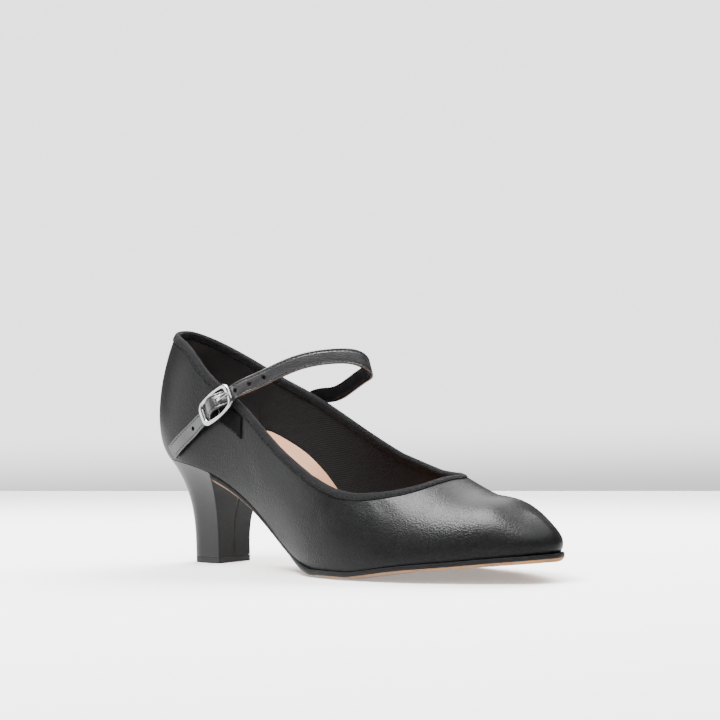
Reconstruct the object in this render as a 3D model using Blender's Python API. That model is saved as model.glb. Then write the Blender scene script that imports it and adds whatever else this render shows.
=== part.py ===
"""A right-foot character shoe: a heeled court shoe for dance and theatre with one buckled instep strap.

Lengths are in metres. +X runs to the toe, +Y to the medial side, +Z up. The origin is on the floor,
at the middle of the heel's top lift.
"""

import math

import bmesh
import bpy
import numpy as np

# Sizes of the last, measured over the finished upper
SHOE_LENGTH = 0.2365
BALL_WIDTH = 0.0745
SEAT_HEIGHT = 0.0498
BACK_HEIGHT = 0.0590
VAMP_HEIGHT = 0.0410
TOE_SPRING = 0.0087
LIFT_FROM_BACK = 0.0170

# Sizes of the upper, its binding and the insole. GAP is the clearance between pieces that meet.
# ARCH_PAD is how far the insole's padding stands up the medial wall under the foot's arch.
GAP = 0.0003
UPPER_WALL = 0.0020
BINDING_WIDTH = 0.0033
BINDING_THICKNESS = 0.0006
BINDING_PROUD = 0.0004
INSOLE_THICKNESS = 0.0020
ARCH_PAD = 0.0139

# Sizes of the outsole. DOME is how far its middle hangs below its sides at the waist.
DOME = 0.0060
SOLE_THICKNESS = 0.0035
SOLE_EDGE = 0.0024
SOLE_MARGIN = 0.0014
WAIST_TUCK = 0.0014

# Sizes of the heel and its top lift
LIFT_LENGTH = 0.0215
LIFT_WIDTH = 0.0200
LIFT_THICKNESS = 0.0028
BREAST_FROM_BACK = 0.0478
HEEL_INSET = 0.0004
HEEL_FLARE = 3.0

# Sizes of the strap. REACH and RISE are of its arch over the instep.
STRAP_WIDTH = 0.0070
STRAP_THICKNESS = 0.0018
STRAP_REACH = 0.0570
STRAP_RISE = 0.0210
STRAP_CORNER = 0.0004

# Sizes of the buckle, its prong and the elastic tab that holds it. BUCKLE_BOW is how far its sides bow
# out. QUARTER_CURVE_ROOM lets the flat buckle clear the curved quarter under its ends.
BUCKLE_LENGTH = 0.0220
BUCKLE_BAR = 0.0028
BUCKLE_WIRE = 0.0018
BUCKLE_THICKNESS = 0.0016
BUCKLE_CORNER = 0.0024
BUCKLE_SIDE_PLAY = 0.0004
BUCKLE_BOW = 0.0010
MIDDLE_BAR = 0.0014
PRONG_WIDTH = 0.0016
PRONG_THICKNESS = 0.0008
TAB_THICKNESS = 0.0007
TAB_LOOP_WIDTH = 0.0054
QUARTER_CURVE_ROOM = 0.0010
HOLE_SIZE = 0.0021
HOLE_SPACING = 0.0072

# The last, one row for each rib from the back of the seat to the tip of the toe.
# along, ridge: place along the shoe, as shares of SHOE_LENGTH, of the feather line and of the ridge.
# swing, lateral, medial, belly_lateral, belly_medial: shares of BALL_WIDTH. The two sides' widths are
# measured from the swing line, and a belly is how far the wall swells out past the feather line.
# rise: share of SEAT_HEIGHT. spring: share of TOE_SPRING.
# cone, vamp: height of the ridge over the feather line, as shares of BACK_HEIGHT and VAMP_HEIGHT.
# lift: how far up the rib its belly is. shoulder: how square the rib is near the ridge. dome: share of DOME.
LAST_COLUMNS = (
    "along", "ridge", "swing", "lateral", "medial", "rise", "spring", "cone", "vamp",
    "belly_lateral", "belly_medial", "lift", "shoulder", "dome",
)
LAST_ROWS = (
    (0.025, 0.098, 0.000, 0.000, 0.000, 1.000, 0.00, 1.27, 0.00, 0.208, 0.208, 0.23, 0.84, 0.00),
    (0.047, 0.116, 0.000, 0.190, 0.183, 0.992, 0.00, 1.26, 0.00, 0.180, 0.175, 0.23, 0.78, 0.25),
    (0.119, 0.170, 0.000, 0.310, 0.300, 0.963, 0.00, 1.22, 0.00, 0.120, 0.110, 0.26, 0.86, 0.65),
    (0.203, 0.232, 0.000, 0.322, 0.300, 0.870, 0.00, 1.18, 0.00, 0.095, 0.095, 0.30, 1.05, 0.90),
    (0.317, 0.330, 0.000, 0.315, 0.255, 0.570, 0.00, 1.22, 0.00, 0.115, 0.150, 0.34, 1.30, 1.00),
    (0.423, 0.427, 0.000, 0.365, 0.285, 0.185, 0.00, 1.28, 0.00, 0.105, 0.160, 0.34, 1.28, 0.55),
    (0.528, 0.528, 0.000, 0.470, 0.400, 0.000, 0.00, 1.10, 0.00, 0.055, 0.090, 0.34, 1.08, 0.00),
    (0.634, 0.632, 0.000, 0.510, 0.480, 0.000, 0.00, 0.60, 0.40, 0.030, 0.035, 0.36, 0.80, 0.00),
    (0.735, 0.730, 0.002, 0.480, 0.480, 0.000, 0.37, 0.00, 0.96, 0.025, 0.025, 0.39, 0.57, 0.00),
    (0.838, 0.822, 0.006, 0.380, 0.395, 0.000, 0.64, 0.00, 0.675, 0.027, 0.027, 0.44, 0.67, 0.00),
    (0.918, 0.890, 0.012, 0.258, 0.262, 0.000, 0.85, 0.00, 0.57, 0.035, 0.035, 0.41, 0.72, 0.00),
    (0.966, 0.924, 0.013, 0.150, 0.148, 0.000, 0.95, 0.00, 0.45, 0.045, 0.045, 0.30, 0.86, 0.00),
    (0.988, 0.938, 0.013, 0.000, 0.000, 0.000, 1.00, 0.00, 0.40, 0.065, 0.065, 0.25, 0.98, 0.00),
)

# The topline on one side: along is the rib that it crosses, as in LAST_ROWS, and up is how far up
# that rib it lies, from 0 at the feather line to 1 at the ridge.
TOPLINE_ROWS = {
    "lateral": (
        (0.025, 0.648), (0.119, 0.606), (0.203, 0.522), (0.317, 0.487), (0.423, 0.477), (0.528, 0.503),
        (0.600, 0.495), (0.660, 0.540), (0.705, 0.610), (0.735, 0.710), (0.752, 0.850), (0.757, 1.000),
    ),
    "medial": (
        (0.025, 0.648), (0.119, 0.536), (0.203, 0.490), (0.317, 0.506), (0.423, 0.546), (0.528, 0.589),
        (0.600, 0.612), (0.660, 0.662), (0.705, 0.735), (0.735, 0.830), (0.752, 0.920), (0.757, 1.000),
    ),
}

# The padding of the insole: share of ARCH_PAD at its medial edge, by rib. PAD_SLOPE over 1 hollows it
# towards the lateral side, and PAD_WALL is a share up the rib that its edge never reaches.
PAD_ROWS = (
    (0.025, 0.00), (0.060, 0.10), (0.100, 0.48), (0.147, 0.90), (0.211, 0.97), (0.282, 1.02), (0.328, 1.02),
    (0.364, 0.94), (0.420, 0.58), (0.480, 0.18), (0.550, 0.00), (0.988, 0.00),
)
PAD_SLOPE = 1.6
PAD_WALL = 0.45

# Where the strap lies on the quarters, by rib and share up it, from its tail to its sewn end.
TAIL_ROWS = ((0.112, 0.075), (0.146, 0.150), (0.180, 0.225))
BUCKLE_AT = (0.258, 0.410)
BUCKLE_AIMS_AT = (0.300, 0.530)
CROSSING_AT = (0.285, 0.455)
SEWN_ROWS = ((0.258, 0.392), (0.222, 0.325), (0.195, 0.280))

# The strap's arch, from the buckle to the medial topline, as rows of across, forward and rise. across
# runs from -1 at the buckle to 1 at the crossing. The others are shares of STRAP_REACH and STRAP_RISE.
ARCH_ROWS = (
    (-0.76, 0.31, 0.48), (-0.41, 0.595, 0.86), (-0.08, 0.855, 0.99), (0.20, 0.995, 0.88),
    (0.37, 0.985, 0.70), (0.51, 0.870, 0.57), (0.77, 0.510, 0.25), (0.95, 0.230, 0.08),
)

# How the strap weaves through the buckle: along is a share of half BUCKLE_LENGTH, and weave runs from
# -1 under the end bars to 1 over the middle bar.
WEAVE_ROWS = (
    (-1.00, -1.00), (-0.75, -0.97), (-0.40, 0.10), (0.00, 1.00), (0.40, 0.10), (0.75, -0.97), (1.00, -1.00),
)

# The strap's spare holes, numbered from the buckle's middle bar, and the patch of the elastic tab
HOLES = (-3, 2, 3, 4)
TAB_PATCH_ALONG = (0.240, 0.318)
TAB_PATCH_UP = (0.330, 0.430)

# The prong past its eye: along is a share of the way to the front bar, and height a share of its height
# there. Its tip passes the bar's middle by a share of BUCKLE_BAR, and bends down to a share of that height.
PRONG_RISE = ((0.36, 1.30), (0.62, 1.38), (1.00, 1.00))
PRONG_PAST_BAR = 0.42
PRONG_TIP_HEIGHT = 0.93

# The tab's leg from its patch up to its fold: ahead in shares of the fold's radius, out in shares of the
# depth of the patch under the buckle. The slot for the prong's eye is wider than the fold by SLOT_EASE.
TAB_LEG = ((-2.6, 1.00), (-1.6, 0.92), (-1.05, 0.50))
SLOT_EASE = 1.3

SIDES = {"lateral": -1.0, "medial": 1.0}

# The stretch of the sole that lies flat on the floor, as shares of SHOE_LENGTH
FLAT_SPOT = (0.528, 0.634)

# How finely the curved pieces are faceted. THROAT_FOOT_SHARE places the rib that runs to the throat,
# and THROAT_CROWDING over 1 sets the topline's columns closer together there.
WELD = 2e-6
POLE = 1e-9
THROAT_FOOT_SHARE = 1.09
THROAT_CROWDING = 1.3
TOPLINE_COLUMNS = 26
TOE_COLUMNS = 10
PANEL_ROWS = 9
SOLE_ACROSS = (-1.0, -0.93, -0.8, -0.45, 0.0, 0.45, 0.8, 0.93, 1.0)
HEEL_ROWS = 11
HEEL_LEVELS = (0.0, 0.22, 0.42, 0.58, 0.70, 0.80, 0.88, 0.95, 1.0)
STRAP_STEPS = 84
BUCKLE_CORNER_STEPS = 4
BUCKLE_SIDE_STEPS = (0.6, 0.2, -0.2, -0.6)


def cubic_spline(knots, values, flat_start=True, flat_end=True):
    """A C2 curve through the values. It leaves an end level if that end is flat, or else unbent."""
    knots, values = np.asarray(knots, float), np.asarray(values, float)
    gaps = np.diff(knots)
    count = len(knots)
    slopes = np.diff(values, axis=0) / gaps.reshape((-1,) + (1,) * (values.ndim - 1))
    system, right = np.zeros((count, count)), np.zeros(values.shape)
    for i in range(1, count - 1):
        system[i, i - 1:i + 2] = gaps[i - 1], 2 * (gaps[i - 1] + gaps[i]), gaps[i]
        right[i] = 6 * (slopes[i] - slopes[i - 1])
    system[0, 0] = system[-1, -1] = 1
    if flat_start:
        system[0, :2] = 2 * gaps[0], gaps[0]
        right[0] = 6 * slopes[0]
    if flat_end:
        system[-1, -2:] = gaps[-1], 2 * gaps[-1]
        right[-1] = -6 * slopes[-1]
    bends = np.linalg.solve(system, right)

    def at(place):
        place = np.clip(np.asarray(place, float), knots[0], knots[-1])
        i = np.clip(np.searchsorted(knots, place) - 1, 0, count - 2)
        shape = place.shape + (1,) * (values.ndim - 1)
        gap = gaps[i].reshape(shape)
        a = (knots[i + 1] - place).reshape(shape) / gap
        b = 1 - a
        curve = ((a**3 - a) * bends[i] + (b**3 - b) * bends[i + 1]) * gap**2 / 6
        return a * values[i] + b * values[i + 1] + curve

    return at


def unit(vectors):
    return vectors / np.linalg.norm(vectors, axis=-1, keepdims=True)


def steps_along(points):
    """How far along the line through the points each of them lies, from 0 to 1."""
    lengths = np.linalg.norm(np.diff(points, axis=0), axis=1)
    return np.concatenate([[0], np.cumsum(lengths)]) / lengths.sum()


class Last:
    """The outer form of the upper. A place on it has a rib, u from 0 at the back to 1 at the toe, and up."""

    def __init__(self):
        rows = {name: np.array([row[i] for row in LAST_ROWS]) for i, name in enumerate(LAST_COLUMNS)}
        half_widths = (rows["lateral"] + rows["medial"]) / 2 * BALL_WIDTH
        knots = steps_along(np.stack([rows["along"] * SHOE_LENGTH, half_widths], 1))
        pole = ("lateral", "medial")
        self.share = {
            name: cubic_spline(knots, rows[name], name not in pole, name not in pole)
            for name in LAST_COLUMNS
        }
        self.back = -(LIFT_FROM_BACK + LIFT_LENGTH / 2)
        self.fine = np.linspace(0, 1, 801)
        self.fine_along = self.share["along"](self.fine)

    def rib_at(self, along):
        return np.interp(along, self.fine_along, self.fine)

    def feather(self, u, side):
        """The line where the upper meets the sole."""
        x = self.back + self.share["along"](u) * SHOE_LENGTH
        y = (self.share["swing"](u) + SIDES[side] * self.share[side](u)) * BALL_WIDTH
        level = SOLE_THICKNESS + GAP
        climb = np.maximum(self.share["rise"](u), 0) * (SEAT_HEIGHT - level)
        return np.stack([x, y, level + climb + np.maximum(self.share["spring"](u), 0) * TOE_SPRING], -1)

    def ridge(self, u):
        x = self.back + self.share["ridge"](u) * SHOE_LENGTH
        height = self.share["cone"](u) * BACK_HEIGHT + self.share["vamp"](u) * VAMP_HEIGHT
        z = self.feather(u, "lateral")[..., 2] + height
        return np.stack([x, self.share["swing"](u) * BALL_WIDTH, z], -1)

    def outward(self, u, side):
        """The level direction that points out of the feather line."""
        low, high = np.clip(u - 1e-4, 0, 1), np.clip(u + 1e-4, 0, 1)
        along = self.feather(high, side) - self.feather(low, side)
        out = np.stack([-along[..., 1], along[..., 0], 0 * along[..., 2]], -1) * SIDES[side]
        out[..., 1] = np.where((u < POLE) | (u > 1 - POLE), 0, out[..., 1])
        return unit(out)

    def ridge_slope(self, u):
        low, high = np.clip(u - 1e-3, 0, 1), np.clip(u + 1e-3, 0, 1)
        along = self.ridge(high) - self.ridge(low)
        return along[..., 2] / along[..., 0]

    def point(self, u, up, side):
        u, up = np.broadcast_arrays(np.asarray(u, float), np.asarray(up, float))
        foot, top = self.feather(u, side), self.ridge(u)
        belly = self.outward(u, side) * (self.share["belly_" + side](u) * BALL_WIDTH)[..., None]
        belly[..., 2] = self.share["lift"](u) * (top - foot)[..., 2]
        shoulder = (foot - top) * self.share["shoulder"](u)[..., None]
        shoulder[..., 2] = self.ridge_slope(u) * shoulder[..., 0]
        t = up[..., None]
        foot_half = (1 - t) ** 3 * foot + 3 * (1 - t) ** 2 * t * (foot + belly)
        return foot_half + 3 * (1 - t) * t**2 * (top + shoulder) + t**3 * top

    def slopes(self, u, up, side):
        """How the surface runs along the shoe and up the rib."""
        low, high = np.clip(u - 1e-4, 0, 1), np.clip(u + 1e-4, 0, 1)
        along = self.point(high, up, side) - self.point(low, up, side)
        rising = self.point(u, up + 1e-4, side) - self.point(u, up - 1e-4, side)
        return along / (high - low)[..., None], rising / 2e-4

    def normal(self, u, up, side):
        """The outward normal. On the seams that both sides share it lies in the shoe's upright plane."""
        u, up = np.broadcast_arrays(np.asarray(u, float), np.asarray(up, float))
        along, rising = self.slopes(u, up, side)
        for pole, way in ((u < POLE, 1), (u > 1 - POLE, -1)):
            along = np.where(pole[..., None], [0, way * SIDES[side], 0], along)
        out = np.cross(along, rising) * -SIDES[side]
        shared = (u < POLE) | (u > 1 - POLE) | (up > 1 - POLE)
        out[..., 1] = np.where(shared, 0, out[..., 1])
        return unit(out)

    def inside(self, u, up, side, depth):
        """A place at a depth under the surface, or over it if the depth is negative."""
        depth = np.asarray(depth, float)[..., None]
        return self.point(u, up, side) - self.normal(u, up, side) * depth

    def underside(self, x, y):
        """The height of the last's bottom, which is domed across the seat and waist."""
        u = self.rib_at((x - self.back) / SHOE_LENGTH)
        low, high = self.feather(u, "lateral"), self.feather(u, "medial")
        across = (2 * y - low[..., 1] - high[..., 1]) / np.maximum(high[..., 1] - low[..., 1], 1e-6)
        hang = np.maximum(self.share["dome"](u), 0) * DOME
        return low[..., 2] - hang * (1 - np.clip(across, -1, 1) ** 2)

    def sole_place(self, u, across, margin):
        """Points of a sole or board whose outline lies outside the feather line by the margin."""
        low = self.feather(u, "lateral") + self.outward(u, "lateral") * margin[..., None]
        high = self.feather(u, "medial") + self.outward(u, "medial") * margin[..., None]
        place = low + (high - low) * ((across + 1) / 2)[..., None]
        place[..., 2] = self.underside(place[..., 0], place[..., 1])
        return place


class Topline:
    """The edge of the opening on one side, from the back (t = 0) to the throat (t = 1)."""

    def __init__(self, last, side):
        self.last, self.side = last, side
        rows = np.array(TOPLINE_ROWS[side])
        u, up = last.rib_at(rows[:, 0]), rows[:, 1]
        t = steps_along(last.point(u, up, side))
        self.u = cubic_spline(t, u, flat_start=False)
        self.up = cubic_spline(t, up, flat_end=False)

    def below(self, t, distance):
        """The place on the last at a distance from the topline, away from the opening."""
        u, up = self.u(t), np.where(t >= 1, 1.0, self.up(t))
        along, rising = self.last.slopes(u, up, self.side)
        low, high = np.clip(t - 1e-3, 0, 1), np.clip(t + 1e-3, 0, 1)
        run = along * (self.u(high) - self.u(low))[..., None] + rising * (self.up(high) - self.up(low))[..., None]
        run[..., 0] = np.where(t >= 1, 0, run[..., 0])
        run[..., 2] = np.where(t >= 1, 0, run[..., 2])
        away = unit(np.cross(run, np.cross(along, rising)))
        # The share of each slope in that direction, from the two slopes' lengths and their angle.
        aa, ar, rr = (along * along).sum(-1), (along * rising).sum(-1), (rising * rising).sum(-1)
        da, dr = (away * along).sum(-1), (away * rising).sum(-1)
        spread = aa * rr - ar * ar
        step_u, step_up = (da * rr - dr * ar) / spread, (dr * aa - da * ar) / spread
        step_u = np.where(t <= 0, 0, np.where(t >= 1, aa**-0.5, step_u))
        step_up = np.where(t <= 0, -(rr**-0.5), np.where(t >= 1, 0, step_up))
        return u + distance * step_u, up + distance * step_up


class Faces:
    """Collects a mesh as grids of points, then welds the points that meet."""

    def __init__(self):
        self.points, self.faces = [], []

    def grid(self, points, close_across=False, flip=False):
        rows, columns = points.shape[:2]
        start = len(self.points)
        self.points.extend(map(tuple, points.reshape(-1, 3)))
        for i in range(rows - 1):
            for j in range(columns if close_across else columns - 1):
                k = (j + 1) % columns
                quad = [i * columns + j, i * columns + k, (i + 1) * columns + k, (i + 1) * columns + j]
                self.faces.append([start + n for n in (quad[::-1] if flip else quad)])

    def fan(self, loop, flip=False):
        start = len(self.points)
        self.points.extend(map(tuple, loop))
        order = list(range(start, start + len(loop)))
        self.faces.append(order[::-1] if flip else order)

    def object(self, name, material, smooth_angle=40):
        mesh = bpy.data.meshes.new(name)
        mesh.from_pydata(self.points, [], self.faces)
        shape = bmesh.new()
        shape.from_mesh(mesh)
        bmesh.ops.remove_doubles(shape, verts=shape.verts, dist=WELD)
        bmesh.ops.dissolve_degenerate(shape, dist=WELD, edges=shape.edges)
        bmesh.ops.recalc_face_normals(shape, faces=shape.faces)
        if shape.calc_volume(signed=True) < 0:
            bmesh.ops.reverse_faces(shape, faces=shape.faces)
        shape.to_mesh(mesh)
        shape.free()
        mesh.materials.append(material)
        mesh.shade_smooth()
        mesh.set_sharp_from_angle(angle=math.radians(smooth_angle))
        thing = bpy.data.objects.new(name, mesh)
        bpy.context.scene.collection.objects.link(thing)
        return thing


def material(name, colour, roughness, metallic=0.0):
    made = bpy.data.materials.new(name)
    made.use_nodes = True
    shader = made.node_tree.nodes["Principled BSDF"]
    shader.inputs["Base Color"].default_value = (*colour, 1)
    shader.inputs["Roughness"].default_value = roughness
    shader.inputs["Metallic"].default_value = metallic
    return made


def topline_steps():
    return 1 - np.linspace(1, 0, TOPLINE_COLUMNS + 1) ** THROAT_CROWDING


def panel_columns(last, topline):
    """The ribs' feet and heads: from the back to the throat under the binding, then on along the ridge."""
    t = topline_steps()
    head_u, head_up = topline.below(t, BINDING_WIDTH)
    throat_foot = head_u[-1] * THROAT_FOOT_SHARE
    back_feet = np.interp(np.linspace(0, 1, TOPLINE_COLUMNS + 1), [0, 1], [0, throat_foot])
    ahead = np.linspace(0, 1, TOE_COLUMNS + 1)[1:]
    feet = np.concatenate([back_feet, throat_foot + (1 - throat_foot) * ahead])
    head_u = np.concatenate([head_u, head_u[-1] + (1 - head_u[-1]) * ahead])
    head_up = np.concatenate([head_up, np.ones(TOE_COLUMNS)])
    return t, feet, head_u, head_up


def make_upper(last, toplines, finish):
    """One hollow wall, open at the topline and underneath, skived on both faces where it is bound."""
    skive = BINDING_THICKNESS + GAP - BINDING_PROUD
    bend = UPPER_WALL / 2 + BINDING_PROUD
    faces = Faces()
    for side, topline in toplines.items():
        t, feet, head_u, head_up = panel_columns(last, topline)
        rise = np.linspace(0, 1, PANEL_ROWS + 1)[:, None]
        u, up = feet + (head_u - feet) * rise, head_up * rise
        outer = last.inside(u, up, side, np.zeros_like(u))
        inner = last.inside(u, up, side, np.full_like(u, UPPER_WALL))
        inner[0, :, 2] = last.underside(inner[0, :, 0], inner[0, :, 1])
        bound = slice(0, TOPLINE_COLUMNS + 1)
        top_u, top_up = topline.below(t, bend)
        low_u, low_up = u[-1, bound], up[-1, bound]
        band_u, band_up = np.stack([low_u, top_u]), np.stack([low_up, top_up])
        outer_band = last.inside(band_u, band_up, side, np.full_like(band_u, skive))
        inner_band = last.inside(band_u, band_up, side, np.full_like(band_u, UPPER_WALL - skive))
        flip = side == "medial"
        faces.grid(outer, flip=flip)
        faces.grid(inner, flip=not flip)
        faces.grid(np.stack([inner[0], outer[0]]), flip=flip)
        faces.grid(np.stack([outer[-1, bound], outer_band[0]]), flip=flip)
        faces.grid(outer_band, flip=flip)
        faces.grid(np.stack([outer_band[1], inner_band[1]]), flip=flip)
        faces.grid(inner_band, flip=not flip)
        faces.grid(np.stack([inner_band[0], inner[-1, bound]]), flip=flip)
    return faces.object("upper", finish)


def make_binding(last, toplines, finish):
    """A folded tape: a U section swept along the whole topline."""
    bend = UPPER_WALL / 2 + BINDING_PROUD
    inner_bend = bend - BINDING_THICKNESS
    leg = BINDING_WIDTH - GAP
    turns = np.radians([0, 45, 90, 135, 180])
    middle = UPPER_WALL / 2
    section = [(leg, middle - bend)]
    section += [(bend - bend * math.sin(a), middle - bend * math.cos(a)) for a in turns]
    section += [(leg, middle + bend), (leg, middle + inner_bend)]
    section += [(bend - inner_bend * math.sin(a), middle + inner_bend * math.cos(a)) for a in turns]
    section += [(leg, middle - inner_bend)]
    t = topline_steps()
    halves = []
    for side, topline in toplines.items():
        ring = []
        for distance, depth in section:
            u, up = topline.below(t, distance)
            ring.append(last.inside(u, up, side, np.full_like(u, depth)))
        halves.append(np.stack(ring, 1))
    around = np.concatenate([halves[0], halves[1][-2:0:-1]])
    faces = Faces()
    faces.grid(np.concatenate([around, around[:1]]), close_across=True)
    return faces.object("topline_binding", finish)


def insole_top(last, low, u, across):
    """The sock's face, whose padding climbs the medial wall and keeps its clearance from it."""
    high = low + [0, 0, INSOLE_THICKNESS]
    padding = cubic_spline(*np.array(PAD_ROWS).T)
    pad = ARCH_PAD * np.maximum(padding(last.share["along"](u[:, 0])), 0)
    up = np.linspace(0, PAD_WALL, 60)
    lean = []
    for rib, edge, height in zip(u[:, 0], high[:, -1, 2], pad):
        wall = last.inside(np.full_like(up, rib), up, "medial", np.full_like(up, UPPER_WALL + 2 * GAP))
        foot, head = (np.array([np.interp(z, wall[:, 2], wall[:, k]) for k in (0, 1)])
                      for z in (edge, edge + height))
        lean.append(head - foot)
    share = (across + 1) / 2
    high[..., :2] += np.array(lean)[:, None] * share[..., None]
    high[..., 2] += pad[:, None] * share**PAD_SLOPE
    return high


def make_insole(last, finish):
    """The board, its padding and its sock, cut to lie inside the wall."""
    u = np.linspace(0, 1, TOPLINE_COLUMNS + TOE_COLUMNS + 1)[:, None]
    across = np.array(SOLE_ACROSS)[None, :]
    u, across = np.broadcast_arrays(u, across)
    low = last.sole_place(u, across, np.full_like(u, -(UPPER_WALL + 2 * GAP)))
    return slab(low, insole_top(last, low, u, across)).object("insole", finish)


def slab(low, high):
    """The closed skin of a sheet from the grids of its lower and upper faces."""
    faces = Faces()
    faces.grid(low)
    faces.grid(high, flip=True)
    for edge in (slice(0, 1), slice(-1, None)):
        faces.grid(np.stack([low[:, edge][:, 0], high[:, edge][:, 0]]), flip=edge.start == 0)
        faces.grid(np.stack([low[edge][0], high[edge][0]]), flip=edge.start != 0)
    return faces


def make_outsole(last, finish):
    """From the heel's breast to the toe tip, with a flat spot under the ball and a thinner edge."""
    breast = last.rib_at((BREAST_FROM_BACK + GAP) / SHOE_LENGTH)
    u = np.linspace(breast, 1, TOPLINE_COLUMNS + TOE_COLUMNS)[:, None]
    flat = last.rib_at(np.array(FLAT_SPOT))
    u = np.sort(np.concatenate([u, flat[:, None]]), axis=0)
    u, across = np.broadcast_arrays(u, np.array(SOLE_ACROSS)[None, :])
    waist = np.clip(np.maximum(last.share["dome"](u), 0) * 2, 0, 1)
    margin = SOLE_MARGIN - (SOLE_MARGIN + WAIST_TUCK) * waist
    high = last.sole_place(u, across, margin)
    high[..., 2] -= GAP
    fall = np.interp(np.abs(across), [0.8, 0.93, 1.0], [0, 0.3, 1])
    low = high - np.stack([0 * fall, 0 * fall, SOLE_THICKNESS - (SOLE_THICKNESS - SOLE_EDGE) * fall], -1)
    return slab(low, high).object("outsole", finish)


def lift_outline(share):
    """Half of the top lift's outline, a round back and straight sides, by the share along it."""
    radius = LIFT_WIDTH / 2
    turn = math.pi / 2 * radius
    run = share * (turn + LIFT_LENGTH - radius)
    angle = np.minimum(run, turn) / radius
    x = radius * (1 - np.cos(angle)) + np.maximum(run - turn, 0)
    return x - LIFT_LENGTH / 2, radius * np.sin(angle)


def make_heel(last, finish):
    """A block whose sides flare from the top lift to the seat. Its top is cupped to the last."""
    breast = last.rib_at(BREAST_FROM_BACK / SHOE_LENGTH)
    share = np.linspace(0, 1, HEEL_ROWS + 1)
    u, across = np.broadcast_arrays((share * breast)[:, None], np.array(SOLE_ACROSS)[None, :])
    top = last.sole_place(u, across, np.full_like(u, -HEEL_INSET))
    top[..., 2] -= GAP
    x, half = lift_outline(share)
    foot = np.stack(np.broadcast_arrays(x[:, None], half[:, None] * across, LIFT_THICKNESS + GAP), -1)
    faces = Faces()
    faces.grid(top, flip=True)
    faces.grid(foot)
    for edge, flip in (((slice(None), 0), True), ((slice(None), -1), False), ((-1, slice(None)), True)):
        levels = []
        for level in HEEL_LEVELS:
            flare = np.array([level**HEEL_FLARE, level**HEEL_FLARE, level])
            levels.append(foot[edge] + (top[edge] - foot[edge]) * flare)
        faces.grid(np.array(levels), flip=flip)
    return faces.object("heel", finish)


def make_top_lift(finish):
    share = np.linspace(0, 1, HEEL_ROWS + 1)
    x, half = lift_outline(share)
    across = np.array(SOLE_ACROSS)[None, :]
    low = np.stack(np.broadcast_arrays(x[:, None], half[:, None] * across, 0.0), -1)
    return slab(low, low + [0, 0, LIFT_THICKNESS]).object("top_lift", finish)


class BuckleFrame:
    """The buckle's own axes: ahead along the strap to the instep, across its width, and out of the shoe."""

    def __init__(self, last):
        seat = quarter_place(last, "lateral", BUCKLE_AT, 0.0)
        aim = quarter_place(last, "lateral", BUCKLE_AIMS_AT, 0.0)
        rear = quarter_place(last, "lateral", TAIL_ROWS[-1], 0.0)
        normal = last.normal(last.rib_at(BUCKLE_AT[0]), BUCKLE_AT[1], "lateral")
        self.ahead = unit(aim - rear)
        self.out = unit(normal - self.ahead * (normal @ self.ahead))
        self.across = np.cross(self.out, self.ahead)
        half_strap = STRAP_THICKNESS / 2
        self.under = -(BUCKLE_THICKNESS / 2 + GAP + half_strap)
        self.over = MIDDLE_BAR / 2 + 2 * GAP + max(TAB_THICKNESS, PRONG_THICKNESS) + half_strap
        self.middle = seat + self.out * (half_strap + GAP - self.under + QUARTER_CURVE_ROOM)

    def place(self, ahead, out, across=0.0):
        ahead, out, across = (np.asarray(value, float)[..., None] for value in (ahead, out, across))
        return self.middle + self.ahead * ahead + self.out * out + self.across * across


def quarter_place(last, side, place, over):
    """A point over the upper's surface, at a place given by its rib and its share up it."""
    return last.inside(last.rib_at(place[0]), place[1], side, -over)


def strap_route(last, buckle):
    """The strap's middle line, from its tail to its sewn end, with the direction of its width."""
    lying = STRAP_THICKNESS / 2 + 2 * GAP
    tail = [quarter_place(last, "lateral", row, lying) for row in TAIL_ROWS]
    weave = [
        buckle.place(share * BUCKLE_LENGTH / 2, buckle.under + (buckle.over - buckle.under) * (height + 1) / 2)
        for share, height in WEAVE_ROWS
    ]
    crossing = quarter_place(last, "medial", CROSSING_AT, lying + BINDING_PROUD)
    sewn = [quarter_place(last, "medial", row, lying) for row in SEWN_ROWS]
    middle, half = (crossing + buckle.middle) / 2, (crossing - buckle.middle) / 2
    rows = np.array(ARCH_ROWS)
    lift = np.stack([rows[:, 1] * STRAP_REACH, 0 * rows[:, 0], rows[:, 2] * STRAP_RISE], 1)
    arch = middle + half * rows[:, :1] + lift
    points = np.concatenate([tail, weave, arch, [crossing], sewn])

    runs = unit(np.gradient(points, axis=0))
    outs = [last.normal(last.rib_at(row[0]), row[1], "lateral") for row in TAIL_ROWS]
    widths = [np.cross(out, run) for out, run in zip(outs, runs)]
    widths += [buckle.across] * len(WEAVE_ROWS)
    over_instep = unit(np.cross([STRAP_REACH, 0, STRAP_RISE], half))
    lying_widths = [
        np.cross(last.normal(last.rib_at(place[0]), place[1], "medial"), run)
        for place, run in zip((CROSSING_AT,) + SEWN_ROWS, runs[-1 - len(SEWN_ROWS):])
    ]
    # The arch turns towards the medial quarter as it nears the crossing.
    turned = np.clip(rows[:, :1], 0, 1) ** 3
    widths += list(unit(over_instep * (1 - turned) + lying_widths[0] * turned))
    widths += lying_widths
    along = steps_along(points)
    route, width = (cubic_spline(along, values, False, False) for values in (points, np.array(widths)))

    def at(share):
        share = np.asarray(share, float)
        run = unit(route(np.clip(share + 1e-3, 0, 1)) - route(np.clip(share - 1e-3, 0, 1)))
        flat = width(share)
        flat = unit(flat - run * (flat * run).sum(-1, keepdims=True))
        return route(share), flat, np.cross(run, flat)

    length = np.linalg.norm(np.diff(route(np.linspace(0, 1, 400)), axis=0), axis=1).sum()
    return at, along[len(TAIL_ROWS) + len(WEAVE_ROWS) // 2], length


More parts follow.
